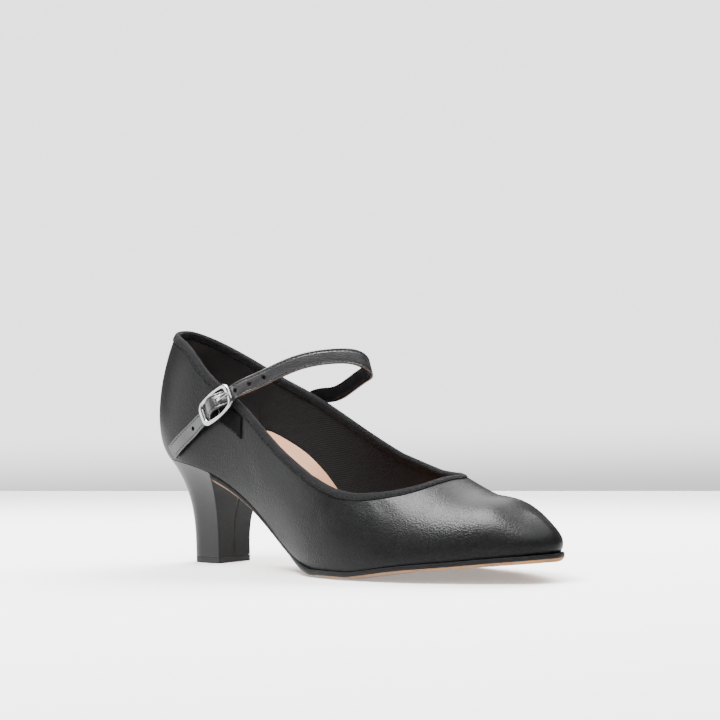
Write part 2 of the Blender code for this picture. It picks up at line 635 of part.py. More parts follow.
def band_section(width, thickness, corner):
    """The outline of a strap's section with its corners cut, as offsets across and through it."""
    flat, side = width / 2 - corner, thickness / 2 - corner
    quarter = [(width / 2, side), (flat, thickness / 2)]
    half = quarter + [(-x, y) for x, y in quarter[::-1]]
    return half + [(-x, -y) for x, y in half]


def sweep(points, flats, throughs, section):
    rings = np.stack([points + flats * across + throughs * through for across, through in section], 1)
    faces = Faces()
    faces.grid(rings, close_across=True)
    faces.fan(rings[0])
    faces.fan(rings[-1], flip=True)
    return faces


def cut(thing, cutter, operation="DIFFERENCE"):
    """Applies a Boolean with a helper object, which stays hidden."""
    cutter.hide_render = True
    cutter.display_type = "WIRE"
    modifier = thing.modifiers.new(cutter.name, "BOOLEAN")
    modifier.operation = operation
    modifier.solver = "EXACT"
    modifier.object = cutter


def prong_line():
    """The prong bends round the middle bar, rises through the strap's hole and rests on the front bar."""
    eye = MIDDLE_BAR / 2 + GAP + PRONG_THICKNESS / 2
    turns = np.radians(np.arange(300, 89, -30))
    ring = np.stack([eye * np.cos(turns), eye * np.sin(turns)], 1)
    rest = BUCKLE_THICKNESS / 2 + GAP + PRONG_THICKNESS / 2
    front = BUCKLE_LENGTH / 2 - BUCKLE_BAR / 2
    rise = np.array(PRONG_RISE) * [front, rest]
    tip = np.array([[front + BUCKLE_BAR * PRONG_PAST_BAR, rest * PRONG_TIP_HEIGHT]])
    return np.concatenate([ring, rise, tip])


def plane_strip(buckle, line, width, thickness, corner, steps):
    """A strip swept along a line in the plane of the strap's length and thickness."""
    place = cubic_spline(steps_along(line), line, False, False)(np.linspace(0, 1, steps))
    run = np.gradient(place, axis=0)
    points = buckle.place(place[:, 0], place[:, 1])
    through = unit(buckle.out * run[:, :1] - buckle.ahead * run[:, 1:])
    flats = np.broadcast_to(buckle.across, points.shape)
    return sweep(points, flats, through, band_section(width, thickness, corner))


def make_prong(buckle, finish):
    return plane_strip(buckle, prong_line(), PRONG_WIDTH, PRONG_THICKNESS, PRONG_THICKNESS / 4, 30).object(
        "buckle_prong", finish)


def make_strap(last, buckle, finish):
    at, buckled, length = strap_route(last, buckle)
    points, flats, throughs = at(np.linspace(0, 1, STRAP_STEPS + 1))
    section = band_section(STRAP_WIDTH, STRAP_THICKNESS, STRAP_CORNER)
    strap = sweep(points, flats, throughs, section).object("strap", finish)
    slot = plane_strip(
        buckle, prong_line(), PRONG_WIDTH + 2 * GAP, PRONG_THICKNESS + 2 * GAP, PRONG_THICKNESS / 4, 30)
    cut(strap, slot.object("prong_hole_cutter", finish))
    holes = Faces()
    turns = np.radians(np.arange(0, 360, 30))
    for number in HOLES:
        middle, flat, through = at(buckled + number * HOLE_SPACING / length)
        run = np.cross(flat, through)
        rim = middle + (np.outer(np.cos(turns), flat) + np.outer(np.sin(turns), run)) * HOLE_SIZE / 2
        ends = np.stack([rim - through * STRAP_THICKNESS, rim + through * STRAP_THICKNESS])
        holes.grid(ends, close_across=True)
        holes.fan(ends[0])
        holes.fan(ends[1], flip=True)
    cut(strap, holes.object("strap_holes_cutter", finish))
    return strap


def make_buckle(buckle, finish):
    """A frame of wire that is wider at its end bars and bowed along its sides, with its middle bar."""
    half_length = BUCKLE_LENGTH / 2 - BUCKLE_BAR / 2
    half_width = STRAP_WIDTH / 2 + BUCKLE_SIDE_PLAY + BUCKLE_WIRE / 2
    bend = BUCKLE_CORNER
    spots = []
    for turn, (x, y) in enumerate(((1, 1), (-1, 1), (-1, -1), (1, -1))):
        middle = np.array([x * (half_length - bend), y * (half_width - bend)])
        for step in range(BUCKLE_CORNER_STEPS + 1):
            angle = math.pi / 2 * (turn + step / BUCKLE_CORNER_STEPS)
            facing = np.array([math.cos(angle), math.sin(angle)])
            spots.append((middle + facing * bend, facing))
        if x == y:
            # After these corners the outline runs along a side bar.
            spots += [(np.array([x * (half_length - bend) * k, y * half_width]), np.array([0.0, y]))
                      for k in BUCKLE_SIDE_STEPS]
    rings = []
    for spot, facing in spots:
        wire = BUCKLE_WIRE + (BUCKLE_BAR - BUCKLE_WIRE) * facing[0] ** 2
        bow = BUCKLE_BOW * (1 - min(1, abs(spot[0]) / (half_length - bend)) ** 2)
        turns = np.radians(np.arange(0, 360, 45))
        offsets = np.outer(np.cos(turns), facing) * wire / 2
        rings.append(buckle.place(
            spot[0] + offsets[:, 0], np.sin(turns) * BUCKLE_THICKNESS / 2,
            spot[1] + math.copysign(bow, spot[1]) + offsets[:, 1]))
    faces = Faces()
    faces.grid(np.array(rings + rings[:1]), close_across=True)
    frame = faces.object("buckle_frame", finish)
    turns = np.radians(np.arange(0, 360, 36))
    ends = [
        buckle.place(np.cos(turns) * MIDDLE_BAR / 2, np.sin(turns) * MIDDLE_BAR / 2, np.full_like(turns, side))
        for side in (-half_width - BUCKLE_BOW, half_width + BUCKLE_BOW)
    ]
    bar = Faces()
    bar.grid(np.array(ends), close_across=True)
    bar.fan(ends[0])
    bar.fan(ends[1], flip=True)
    cut(frame, bar.object("middle_bar_helper", finish), "UNION")
    return frame


def make_tab(last, buckle, finish):
    """An elastic loop: a patch sewn to the quarter, whose narrow end folds over the middle bar."""
    u = last.rib_at(np.linspace(*TAB_PATCH_ALONG, 6))[:, None]
    u, up = np.broadcast_arrays(u, np.linspace(*TAB_PATCH_UP, 7)[None, :])
    low = last.inside(u, up, "lateral", np.full_like(u, -GAP))
    high = last.inside(u, up, "lateral", np.full_like(u, -GAP - TAB_THICKNESS))
    tab = slab(low, high).object("buckle_tab", finish)
    fold = MIDDLE_BAR / 2 + GAP + TAB_THICKNESS / 2
    turns = np.radians(np.arange(180, -31, -30))
    ring = np.stack([fold * np.cos(turns), fold * np.sin(turns)], 1)
    seat = -(STRAP_THICKNESS / 2 + GAP - buckle.under + QUARTER_CURVE_ROOM) + GAP + TAB_THICKNESS
    leg = np.array(TAB_LEG) * [fold, seat]
    loop = plane_strip(
        buckle, np.concatenate([leg, ring]), TAB_LOOP_WIDTH, TAB_THICKNESS, TAB_THICKNESS / 4, 22)
    cut(tab, loop.object("tab_loop_helper", finish), "UNION")
    reach = MIDDLE_BAR / 2 + 2 * GAP + max(TAB_THICKNESS, PRONG_THICKNESS)
    half = PRONG_WIDTH / 2 + GAP
    corners = [(-half, -reach), (half, -reach), (half, reach * SLOT_EASE), (-half, reach * SLOT_EASE)]
    ends = [
        buckle.place(
            np.full(4, ahead), np.array([out for _, out in corners]), np.array([side for side, _ in corners]))
        for ahead in (-reach, reach)
    ]
    slot = Faces()
    slot.grid(np.array(ends), close_across=True)
    slot.fan(ends[0])
    slot.fan(ends[1], flip=True)
    cut(tab, slot.object("tab_slot_cutter", finish))
    return tab


def main():
    for thing in list(bpy.data.objects):
        bpy.data.objects.remove(thing)
    leather = material("black_leather", (0.014, 0.014, 0.015), 0.42)
    tape = material("black_tape", (0.012, 0.012, 0.012), 0.75)
    board = material("peach_sock", (0.78, 0.57, 0.45), 0.6)
    sole_leather = material("tan_sole_leather", (0.60, 0.42, 0.28), 0.55)
    heel_cover = material("black_heel_cover", (0.012, 0.012, 0.013), 0.3)
    rubber = material("black_rubber", (0.01, 0.01, 0.01), 0.7)
    chrome = material("chrome_plate", (0.8, 0.8, 0.82), 0.12, 1.0)
    elastic = material("black_elastic", (0.015, 0.015, 0.015), 0.8)

    last = Last()
    toplines = {side: Topline(last, side) for side in SIDES}
    make_upper(last, toplines, leather)
    make_binding(last, toplines, tape)
    make_insole(last, board)
    make_outsole(last, sole_leather)
    make_heel(last, heel_cover)
    make_top_lift(rubber)
    buckle = BuckleFrame(last)
    make_strap(last, buckle, leather)
    make_buckle(buckle, chrome)
    make_prong(buckle, chrome)
    make_tab(last, buckle, elastic)


main()
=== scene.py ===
"""Looks for the character shoe: its leather, tape, thread, lining, sole, heel, strap and buckle.

Run as a script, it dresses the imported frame. It is laid out as an add-on, so each piece is an operator.
Lengths are in metres. +X runs to the toe, +Y to the medial side, +Z up.
"""

import math

import bmesh
import bpy
import numpy as np
from mathutils import Matrix, Vector


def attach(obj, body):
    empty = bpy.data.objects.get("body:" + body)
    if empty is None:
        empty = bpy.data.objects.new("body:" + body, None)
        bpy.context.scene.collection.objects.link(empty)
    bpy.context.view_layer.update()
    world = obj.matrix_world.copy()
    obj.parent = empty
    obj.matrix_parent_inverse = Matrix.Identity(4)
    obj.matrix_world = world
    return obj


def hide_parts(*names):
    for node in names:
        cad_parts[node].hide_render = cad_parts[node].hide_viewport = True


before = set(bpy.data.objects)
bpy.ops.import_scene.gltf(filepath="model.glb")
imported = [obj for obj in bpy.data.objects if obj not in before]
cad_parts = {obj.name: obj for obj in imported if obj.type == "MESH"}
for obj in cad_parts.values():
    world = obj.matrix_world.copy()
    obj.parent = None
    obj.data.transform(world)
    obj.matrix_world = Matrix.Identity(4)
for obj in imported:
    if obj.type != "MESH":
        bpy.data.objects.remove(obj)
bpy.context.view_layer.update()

bl_info = {
    "name": "Character shoe",
    "version": (1, 0, 0),
    "blender": (4, 5, 0),
    "location": "3D View > Sidebar > Shoe",
    "description": "Builds a buckled character shoe from its last, piece by piece",
    "category": "Object",
}

BODY = "root"
MM = 0.001

# Sizes of the solids in the frame
SHOE_LENGTH = 0.2365
BALL_WIDTH = 0.0745
SEAT_HEIGHT = 0.0498
BACK_HEIGHT = 0.0590
VAMP_HEIGHT = 0.0410
TOE_SPRING = 0.0087
LIFT_FROM_BACK = 0.0170
GAP = 0.0003
UPPER_WALL = 0.0020
BINDING_WIDTH = 0.0042  # the solid tape is 3.3 mm wide, and the photograph shows it wider
BINDING_THICKNESS = 0.0006
BINDING_PROUD = 0.0004
INSOLE_THICKNESS = 0.0020
ARCH_PAD = 0.0139
DOME = 0.0060
SOLE_THICKNESS = 0.0035
SOLE_EDGE = 0.0024
SOLE_MARGIN = 0.0014
WAIST_TUCK = 0.0014
LIFT_LENGTH = 0.0215
LIFT_WIDTH = 0.0200
LIFT_THICKNESS = 0.0028
BREAST_FROM_BACK = 0.0478
HEEL_INSET = 0.0004
HEEL_FLARE = 3.0
STRAP_WIDTH = 0.0070
STRAP_THICKNESS = 0.0018
STRAP_REACH = 0.0570
STRAP_RISE = 0.0210
BUCKLE_LENGTH = 0.0220
BUCKLE_BAR = 0.0028
BUCKLE_WIRE = 0.0018
BUCKLE_THICKNESS = 0.0016
BUCKLE_CORNER = 0.0024
BUCKLE_SIDE_PLAY = 0.0004
BUCKLE_BOW = 0.0010
MIDDLE_BAR = 0.0014
PRONG_WIDTH = 0.0016
PRONG_THICKNESS = 0.0008
TAB_THICKNESS = 0.0007
TAB_LOOP_WIDTH = 0.0054
QUARTER_CURVE_ROOM = 0.0010

# The last, one row for each rib from the back of the seat to the tip of the toe
LAST_COLUMNS = (
    "along", "ridge", "swing", "lateral", "medial", "rise", "spring", "cone", "vamp",
    "belly_lateral", "belly_medial", "lift", "shoulder", "dome",
)
LAST_ROWS = (
    (0.025, 0.098, 0.000, 0.000, 0.000, 1.000, 0.00, 1.27, 0.00, 0.208, 0.208, 0.23, 0.84, 0.00),
    (0.047, 0.116, 0.000, 0.190, 0.183, 0.992, 0.00, 1.26, 0.00, 0.180, 0.175, 0.23, 0.78, 0.25),
    (0.119, 0.170, 0.000, 0.310, 0.300, 0.963, 0.00, 1.22, 0.00, 0.120, 0.110, 0.26, 0.86, 0.65),
    (0.203, 0.232, 0.000, 0.322, 0.300, 0.870, 0.00, 1.18, 0.00, 0.095, 0.095, 0.30, 1.05, 0.90),
    (0.317, 0.330, 0.000, 0.315, 0.255, 0.570, 0.00, 1.22, 0.00, 0.115, 0.150, 0.34, 1.30, 1.00),
    (0.423, 0.427, 0.000, 0.365, 0.285, 0.185, 0.00, 1.28, 0.00, 0.105, 0.160, 0.34, 1.28, 0.55),
    (0.528, 0.528, 0.000, 0.470, 0.400, 0.000, 0.00, 1.10, 0.00, 0.055, 0.090, 0.34, 1.08, 0.00),
    (0.634, 0.632, 0.000, 0.510, 0.480, 0.000, 0.00, 0.60, 0.40, 0.030, 0.035, 0.36, 0.80, 0.00),
    (0.735, 0.730, 0.002, 0.480, 0.480, 0.000, 0.37, 0.00, 0.96, 0.025, 0.025, 0.39, 0.57, 0.00),
    (0.838, 0.822, 0.006, 0.380, 0.395, 0.000, 0.64, 0.00, 0.675, 0.027, 0.027, 0.44, 0.67, 0.00),
    (0.918, 0.890, 0.012, 0.258, 0.262, 0.000, 0.85, 0.00, 0.57, 0.035, 0.035, 0.41, 0.72, 0.00),
    (0.966, 0.924, 0.013, 0.150, 0.148, 0.000, 0.95, 0.00, 0.45, 0.045, 0.045, 0.30, 0.86, 0.00),
    (0.988, 0.938, 0.013, 0.000, 0.000, 0.000, 1.00, 0.00, 0.40, 0.065, 0.065, 0.25, 0.98, 0.00),
)

# The topline's two sides, by rib and share up it
TOPLINE_ROWS = {
    "lateral": (
        (0.025, 0.648), (0.119, 0.606), (0.203, 0.522), (0.317, 0.487), (0.423, 0.477), (0.528, 0.503),
        (0.600, 0.495), (0.660, 0.540), (0.705, 0.610), (0.735, 0.710), (0.752, 0.850), (0.757, 1.000),
    ),
    "medial": (
        (0.025, 0.648), (0.119, 0.536), (0.203, 0.490), (0.317, 0.506), (0.423, 0.546), (0.528, 0.589),
        (0.600, 0.612), (0.660, 0.662), (0.705, 0.735), (0.735, 0.830), (0.752, 0.920), (0.757, 1.000),
    ),
}

# The insole's padding, by rib and share of ARCH_PAD
PAD_ROWS = (
    (0.025, 0.00), (0.060, 0.10), (0.100, 0.48), (0.147, 0.93), (0.211, 1.03), (0.282, 1.12), (0.328, 1.13),
    (0.364, 1.03), (0.420, 0.60), (0.480, 0.18), (0.550, 0.00), (0.988, 0.00),
)
PAD_SLOPE = 1.6
PAD_WALL = 0.45

# The strap's places on the quarters, by rib and share up it, and its arch over the instep
TAIL_ROWS = ((0.112, 0.075), (0.146, 0.150), (0.180, 0.225))
BUCKLE_AT = (0.258, 0.410)
BUCKLE_AIMS_AT = (0.300, 0.530)
CROSSING_AT = (0.285, 0.455)
SEWN_ROWS = ((0.258, 0.392), (0.222, 0.325), (0.195, 0.280))
ARCH_ROWS = (
    (-0.76, 0.31, 0.48), (-0.41, 0.595, 0.86), (-0.08, 0.855, 0.99), (0.20, 0.995, 0.88),
    (0.37, 0.985, 0.70), (0.51, 0.870, 0.57), (0.77, 0.510, 0.25), (0.95, 0.230, 0.08),
)
WEAVE_ROWS = (
    (-1.00, -1.00), (-0.75, -0.97), (-0.40, 0.10), (0.00, 1.00), (0.40, 0.10), (0.75, -0.97), (1.00, -1.00),
)

# The strap's crowned faces, its stitched grooves, and its holes, counted from the buckle's middle bar
STRAP_CROWN = 0.0001
GROOVE_HALF_WIDTH = 0.00028
HOLES = (-3, 2, 3, 4)
HOLE_SIZE = 0.0021
HOLE_SPACING = 0.0072

# The elastic's patch on the quarter, and the shares that shape the prong, the elastic and its slot
# The patch also spreads over the shade under the buckle, so it is partly elastic and partly painted shade
TAB_PATCH_ALONG = (0.240, 0.318)
TAB_PATCH_UP = (0.330, 0.430)
PRONG_RISE = ((0.36, 1.30), (0.62, 1.38), (1.00, 1.00))
PRONG_PAST_BAR = 0.42
PRONG_TIP_HEIGHT = 0.93
TAB_LEG = ((-2.6, 1.00), (-1.6, 0.92), (-1.05, 0.50))
SLOT_EASE = 1.3

# Creases and puckers pressed into the upper by the last and by wear, as soft troughs. along, up: where
# the middle lies. length, width, depth: shares of BALL_WIDTH. turn: degrees from the rib.
CREASE_COLUMNS = ("side", "along", "up", "length", "width", "depth", "turn")
CREASES = (
    ("lateral", 0.585, 0.36, 0.17, 0.040, 0.0019, 24), ("lateral", 0.612, 0.38, 0.15, 0.034, 0.0021, 30),
    ("lateral", 0.636, 0.37, 0.16, 0.036, 0.0019, 34), ("lateral", 0.660, 0.42, 0.14, 0.034, 0.0022, 38),
    ("lateral", 0.684, 0.47, 0.14, 0.038, 0.0018, 42), ("lateral", 0.560, 0.31, 0.18, 0.044, 0.0016, 18),
    ("lateral", 0.705, 0.43, 0.16, 0.042, 0.0015, 46), ("medial", 0.600, 0.42, 0.18, 0.042, 0.0019, 26),
    ("medial", 0.635, 0.46, 0.16, 0.038, 0.0020, 34), ("medial", 0.668, 0.50, 0.15, 0.040, 0.0017, 40),
    ("lateral", 0.340, 0.20, 0.30, 0.070, 0.0018, 62), ("medial", 0.350, 0.22, 0.30, 0.070, 0.0020, 62),
    ("lateral", 0.120, 0.18, 0.22, 0.080, 0.0015, 78), ("medial", 0.130, 0.18, 0.22, 0.080, 0.0015, 78),
)

# The soft rim beside a crease, as a share of its depth, and the widths at which it lies
CREASE_RIM = 0.45
CREASE_RIM_AT = 1.7

# How far the sock rolls down along its edge, and from which share of its half width
SOCK_ROLL = 0.0005
SOCK_ROLL_FROM = 0.93

# The heel grip's front edge inside the quarters, and the swell of the lining over it
GRIP_ENDS = 0.136
GRIP_SWELL = 0.0004
GRIP_EDGE = 0.0010

# The camera, worked out from the photograph: the place it turns about, its angles, its distance, where
# that place lands in the picture, and the row of the picture where the wall meets the floor
CAMERA_ABOUT = (0.08225, 0.0, 0.045)
CAMERA_AZIMUTH = 44.72
CAMERA_ELEVATION = 3.18
CAMERA_ROLL = -1.38
CAMERA_DISTANCE = 1.29254
CAMERA_FOCUS = 2865.41
CAMERA_ABOUT_LANDS = (340.96, 469.37)
PICTURE_SIZE = 720
SENSOR = 36.0
WALL_LINE = 491.0

# The share of the sole's length from which its edge shows a tan rim under the ink, the share of its
# half width from which the rest of its underside is inked, and how far its edge is rounded out
TAN_EDGE_FROM = 0.55
INK_FROM = 0.955
EDGE_BULGE = 0.00022

# The gap that the glue leaves between the heel and its lift
LIFT_GLUE_LINE = 0.00014

# How far in front of the wall the paper on the floor is dimmer, with painted shade in its colour and a weaker
# glow
COVE = 0.30

# The sines of the elevations between which the wall darkens towards the floor, as painted shade at its foot
WALL_FOOT = (-0.066, -0.040)

# The floor's length and width
FLOOR_SIZE = 12.0

# The lights: place, aim, width and height, watts, and whether glossy surfaces mirror it
LIGHTS = (
    ("overhead_softbox", (-0.10, -0.31, 1.02), (0.12, 0.0, 0.02), (0.75, 0.5), 29.0, True),
    ("rear_softbox", (-0.85, 0.85, 1.25), (0.10, 0.0, 0.02), (1.2, 1.2), 13.0, True),
    ("side_panel", (-1.20, -0.75, 0.30), (0.0, 0.0, 0.05), (0.8, 0.6), 3.0, True),
    ("back_bounce", (-0.20, 1.25, 1.15), (0.10, 0.0, 0.0), (1.5, 1.2), 125.0, False),
    ("front_fill", (0.75, -1.10, 0.55), (0.10, 0.0, 0.03), (1.4, 0.7), 6.0, False),
)

SIDES = {"lateral": -1.0, "medial": 1.0}
CORNERS = ((1, 1), (-1, 1), (-1, -1), (1, -1))

# The distance under which points of a mesh are one, and the share under which a place lies on a seam
WELD = 1e-6
POLE = 1e-9

# How the upper's columns lean and crowd towards the throat and its rows to the sole, and their numbers
THROAT_FOOT_SHARE = 1.09
THROAT_CROWDING = 1.15
SOLE_CROWDING = 1.15
TOPLINE_COLUMNS = 150
TOE_COLUMNS = 70
PANEL_ROWS = 46

# The settings of a node that fades one range into another, and of one that mixes two colours
FADE = {"interpolation_type": "SMOOTHSTEP"}
COLOURS = {"data_type": "RGBA", "output": 2}


def cubic_spline(knots, values, flat_start=True, flat_end=True):
    """A C2 curve through the values. It leaves an end level if that end is flat, or else unbent."""
    knots, values = np.asarray(knots, float), np.asarray(values, float)
    gaps = np.diff(knots)
    count = len(knots)
    slopes = np.diff(values, axis=0) / gaps.reshape((-1,) + (1,) * (values.ndim - 1))
    system, right = np.zeros((count, count)), np.zeros(values.shape)
    for i in range(1, count - 1):
        system[i, i - 1:i + 2] = gaps[i - 1], 2 * (gaps[i - 1] + gaps[i]), gaps[i]
        right[i] = 6 * (slopes[i] - slopes[i - 1])
    system[0, 0] = system[-1, -1] = 1
    if flat_start:
        system[0, :2] = 2 * gaps[0], gaps[0]
        right[0] = 6 * slopes[0]
    if flat_end:
        system[-1, -2:] = gaps[-1], 2 * gaps[-1]
        right[-1] = -6 * slopes[-1]
    bends = np.linalg.solve(system, right)

    def at(place):
        place = np.clip(np.asarray(place, float), knots[0], knots[-1])
        i = np.clip(np.searchsorted(knots, place) - 1, 0, count - 2)
        shape = place.shape + (1,) * (values.ndim - 1)
        gap = gaps[i].reshape(shape)
        a = (knots[i + 1] - place).reshape(shape) / gap
        b = 1 - a
        curve = ((a**3 - a) * bends[i] + (b**3 - b) * bends[i + 1]) * gap**2 / 6
        return a * values[i] + b * values[i + 1] + curve

    return at


def unit(vectors):
    return vectors / np.linalg.norm(vectors, axis=-1, keepdims=True)


def steps_along(points):
    """How far along the line through the points each of them lies, from 0 to 1."""
    lengths = np.linalg.norm(np.diff(points, axis=0), axis=1)
    return np.concatenate([[0], np.cumsum(lengths)]) / lengths.sum()


def run_length(points, axis=0):
    """The distance run along each line of points."""
    steps = np.linalg.norm(np.diff(points, axis=axis), axis=-1)
    start = np.zeros_like(np.take(steps, [0], axis=axis))
    return np.cumsum(np.concatenate([start, steps], axis=axis), axis=axis)


def soft_step(value):
    value = np.clip(value, 0, 1)
    return value * value * (3 - 2 * value)


class Last:
    """The outer form of the upper. A place on it has a rib, u from 0 at the back to 1 at the toe, and up."""

    def __init__(self):
        rows = {name: np.array([row[i] for row in LAST_ROWS]) for i, name in enumerate(LAST_COLUMNS)}
        half_widths = (rows["lateral"] + rows["medial"]) / 2 * BALL_WIDTH
        knots = steps_along(np.stack([rows["along"] * SHOE_LENGTH, half_widths], 1))
        pole = ("lateral", "medial")
        self.share = {
            name: cubic_spline(knots, rows[name], name not in pole, name not in pole)
            for name in LAST_COLUMNS
        }
        self.back = -(LIFT_FROM_BACK + LIFT_LENGTH / 2)
        self.fine = np.linspace(0, 1, 801)
        self.fine_along = self.share["along"](self.fine)

    def rib_at(self, along):
        return np.interp(along, self.fine_along, self.fine)

    def feather(self, u, side):
        """The line where the upper meets the sole."""
        x = self.back + self.share["along"](u) * SHOE_LENGTH
        y = (self.share["swing"](u) + SIDES[side] * self.share[side](u)) * BALL_WIDTH
        level = SOLE_THICKNESS + GAP
        climb = np.maximum(self.share["rise"](u), 0) * (SEAT_HEIGHT - level)
        return np.stack([x, y, level + climb + np.maximum(self.share["spring"](u), 0) * TOE_SPRING], -1)

    def ridge(self, u):
        x = self.back + self.share["ridge"](u) * SHOE_LENGTH
        height = self.share["cone"](u) * BACK_HEIGHT + self.share["vamp"](u) * VAMP_HEIGHT
        z = self.feather(u, "lateral")[..., 2] + height
        return np.stack([x, self.share["swing"](u) * BALL_WIDTH, z], -1)

    def outward(self, u, side):
        """The level direction that points out of the feather line."""
        low, high = np.clip(u - 1e-4, 0, 1), np.clip(u + 1e-4, 0, 1)
        along = self.feather(high, side) - self.feather(low, side)
        out = np.stack([-along[..., 1], along[..., 0], 0 * along[..., 2]], -1) * SIDES[side]
        out[..., 1] = np.where((u < POLE) | (u > 1 - POLE), 0, out[..., 1])
        return unit(out)

    def ridge_slope(self, u):
        low, high = np.clip(u - 1e-3, 0, 1), np.clip(u + 1e-3, 0, 1)
        along = self.ridge(high) - self.ridge(low)
        return along[..., 2] / along[..., 0]

    def point(self, u, up, side):
        u, up = np.broadcast_arrays(np.asarray(u, float), np.asarray(up, float))
        foot, top = self.feather(u, side), self.ridge(u)
        belly = self.outward(u, side) * (self.share["belly_" + side](u) * BALL_WIDTH)[..., None]
        belly[..., 2] = self.share["lift"](u) * (top - foot)[..., 2]
        shoulder = (foot - top) * self.share["shoulder"](u)[..., None]
        shoulder[..., 2] = self.ridge_slope(u) * shoulder[..., 0]
        t = up[..., None]
        foot_half = (1 - t) ** 3 * foot + 3 * (1 - t) ** 2 * t * (foot + belly)
        return foot_half + 3 * (1 - t) * t**2 * (top + shoulder) + t**3 * top

    def slopes(self, u, up, side):
        """How the surface runs along the shoe and up the rib."""
        low, high = np.clip(u - 1e-4, 0, 1), np.clip(u + 1e-4, 0, 1)
        along = self.point(high, up, side) - self.point(low, up, side)
        rising = self.point(u, up + 1e-4, side) - self.point(u, up - 1e-4, side)
        return along / (high - low)[..., None], rising / 2e-4

    def normal(self, u, up, side):
        """The outward normal. On the seams that both sides share it lies in the shoe's upright plane."""
        u, up = np.broadcast_arrays(np.asarray(u, float), np.asarray(up, float))
        along, rising = self.slopes(u, up, side)
        for pole, way in ((u < POLE, 1), (u > 1 - POLE, -1)):
            along = np.where(pole[..., None], [0, way * SIDES[side], 0], along)
        out = np.cross(along, rising) * -SIDES[side]
        shared = (u < POLE) | (u > 1 - POLE) | (up > 1 - POLE)
        out[..., 1] = np.where(shared, 0, out[..., 1])
        return unit(out)

    def inside(self, u, up, side, depth):
        """A place at a depth under the surface, or over it if the depth is negative."""
        depth = np.asarray(depth, float)[..., None]
        return self.point(u, up, side) - self.normal(u, up, side) * depth

    def underside(self, x, y):
        """The height of the last's bottom, which is domed across the seat and waist."""
        u = self.rib_at((x - self.back) / SHOE_LENGTH)
        low, high = self.feather(u, "lateral"), self.feather(u, "medial")
        across = (2 * y - low[..., 1] - high[..., 1]) / np.maximum(high[..., 1] - low[..., 1], 1e-6)
        hang = np.maximum(self.share["dome"](u), 0) * DOME
        return low[..., 2] - hang * (1 - np.clip(across, -1, 1) ** 2)

    def sole_place(self, u, across, margin):
        """Points of a sole or board whose outline lies outside the feather line by the margin."""
        low = self.feather(u, "lateral") + self.outward(u, "lateral") * margin[..., None]
        high = self.feather(u, "medial") + self.outward(u, "medial") * margin[..., None]
        place = low + (high - low) * ((across + 1) / 2)[..., None]
        place[..., 2] = self.underside(place[..., 0], place[..., 1])
        return place


class Topline:
    """The edge of the opening on one side, from the back (t = 0) to the throat (t = 1)."""

    def __init__(self, last, side):
        self.last, self.side = last, side
        rows = np.array(TOPLINE_ROWS[side])
        u, up = last.rib_at(rows[:, 0]), rows[:, 1]
        t = steps_along(last.point(u, up, side))
        self.u = cubic_spline(t, u, flat_start=False)
        self.up = cubic_spline(t, up, flat_end=False)

    def below(self, t, distance):
        """The place on the last at a distance from the topline, away from the opening."""
        u, up = self.u(t), np.where(t >= 1, 1.0, self.up(t))
        along, rising = self.last.slopes(u, up, self.side)
        low, high = np.clip(t - 1e-3, 0, 1), np.clip(t + 1e-3, 0, 1)
        run = along * (self.u(high) - self.u(low))[..., None]
        run = run + rising * (self.up(high) - self.up(low))[..., None]
        run[..., 0] = np.where(t >= 1, 0, run[..., 0])
        run[..., 2] = np.where(t >= 1, 0, run[..., 2])
        away = unit(np.cross(run, np.cross(along, rising)))
        aa, ar, rr = (along * along).sum(-1), (along * rising).sum(-1), (rising * rising).sum(-1)
        da, dr = (away * along).sum(-1), (away * rising).sum(-1)
        spread = aa * rr - ar * ar
        step_u, step_up = (da * rr - dr * ar) / spread, (dr * aa - da * ar) / spread
        step_u = np.where(t <= 0, 0, np.where(t >= 1, aa**-0.5, step_u))
        step_up = np.where(t <= 0, -(rr**-0.5), np.where(t >= 1, 0, step_up))
        return u + distance * step_u, up + distance * step_up


LAST = Last()
TOPLINES = {side: Topline(LAST, side) for side in SIDES}


class Skin:
    """Collects grids of points into one mesh, with a place in metres along and across each for patterns."""

    def __init__(self):
        self.points, self.faces, self.places, self.slots = [], [], [], []
        self.count = 0

    def grid(self, points, place=None, slot=0, flip=False):
        rows, columns = points.shape[:2]
        index = np.arange(rows * columns).reshape(rows, columns)
        corners = [index[:-1, :-1], index[:-1, 1:], index[1:, 1:], index[1:, :-1]]
        faces = np.stack(corners[::-1] if flip else corners, -1).reshape(-1, 4)
        place = np.zeros((rows, columns, 2)) if place is None else place
        self.points.append(points.reshape(-1, 3))
        self.faces.append(faces + self.count)
        self.places.append(place.reshape(-1, 2)[faces.ravel()])
        self.slots.append(np.broadcast_to(slot, (rows - 1, columns - 1)).ravel())
        self.count += rows * columns
        return self

    def join_edges(self, low, high):
        """Closes two sheets along both of their long edges."""
        for column, flip in ((0, True), (-1, False)):
            self.grid(np.stack([low[:, column], high[:, column]]), None, 0, flip)
        return self

    def object(self, name, finishes, smooth_angle=50):
        mesh = bpy.data.meshes.new(name)
        mesh.from_pydata(np.concatenate(self.points).tolist(), [], np.concatenate(self.faces).tolist())
        layer = mesh.uv_layers.new(name="Place")
        layer.data.foreach_set("uv", np.concatenate(self.places).ravel().astype(np.float32))
        mesh.polygons.foreach_set("material_index", np.concatenate(self.slots).astype(np.int32))
        shape = bmesh.new()
        shape.from_mesh(mesh)
        bmesh.ops.remove_doubles(shape, verts=shape.verts, dist=WELD)
        bmesh.ops.dissolve_degenerate(shape, dist=WELD, edges=shape.edges)
        bmesh.ops.recalc_face_normals(shape, faces=shape.faces)
        if shape.calc_volume(signed=True) < 0:
            bmesh.ops.reverse_faces(shape, faces=shape.faces)
        shape.to_mesh(mesh)
        shape.free()
        for finish in finishes:
            mesh.materials.append(finish)
        thing = bpy.data.objects.new(name, mesh)
        bpy.context.scene.collection.objects.link(thing)
        shade(thing, smooth_angle)
        return thing


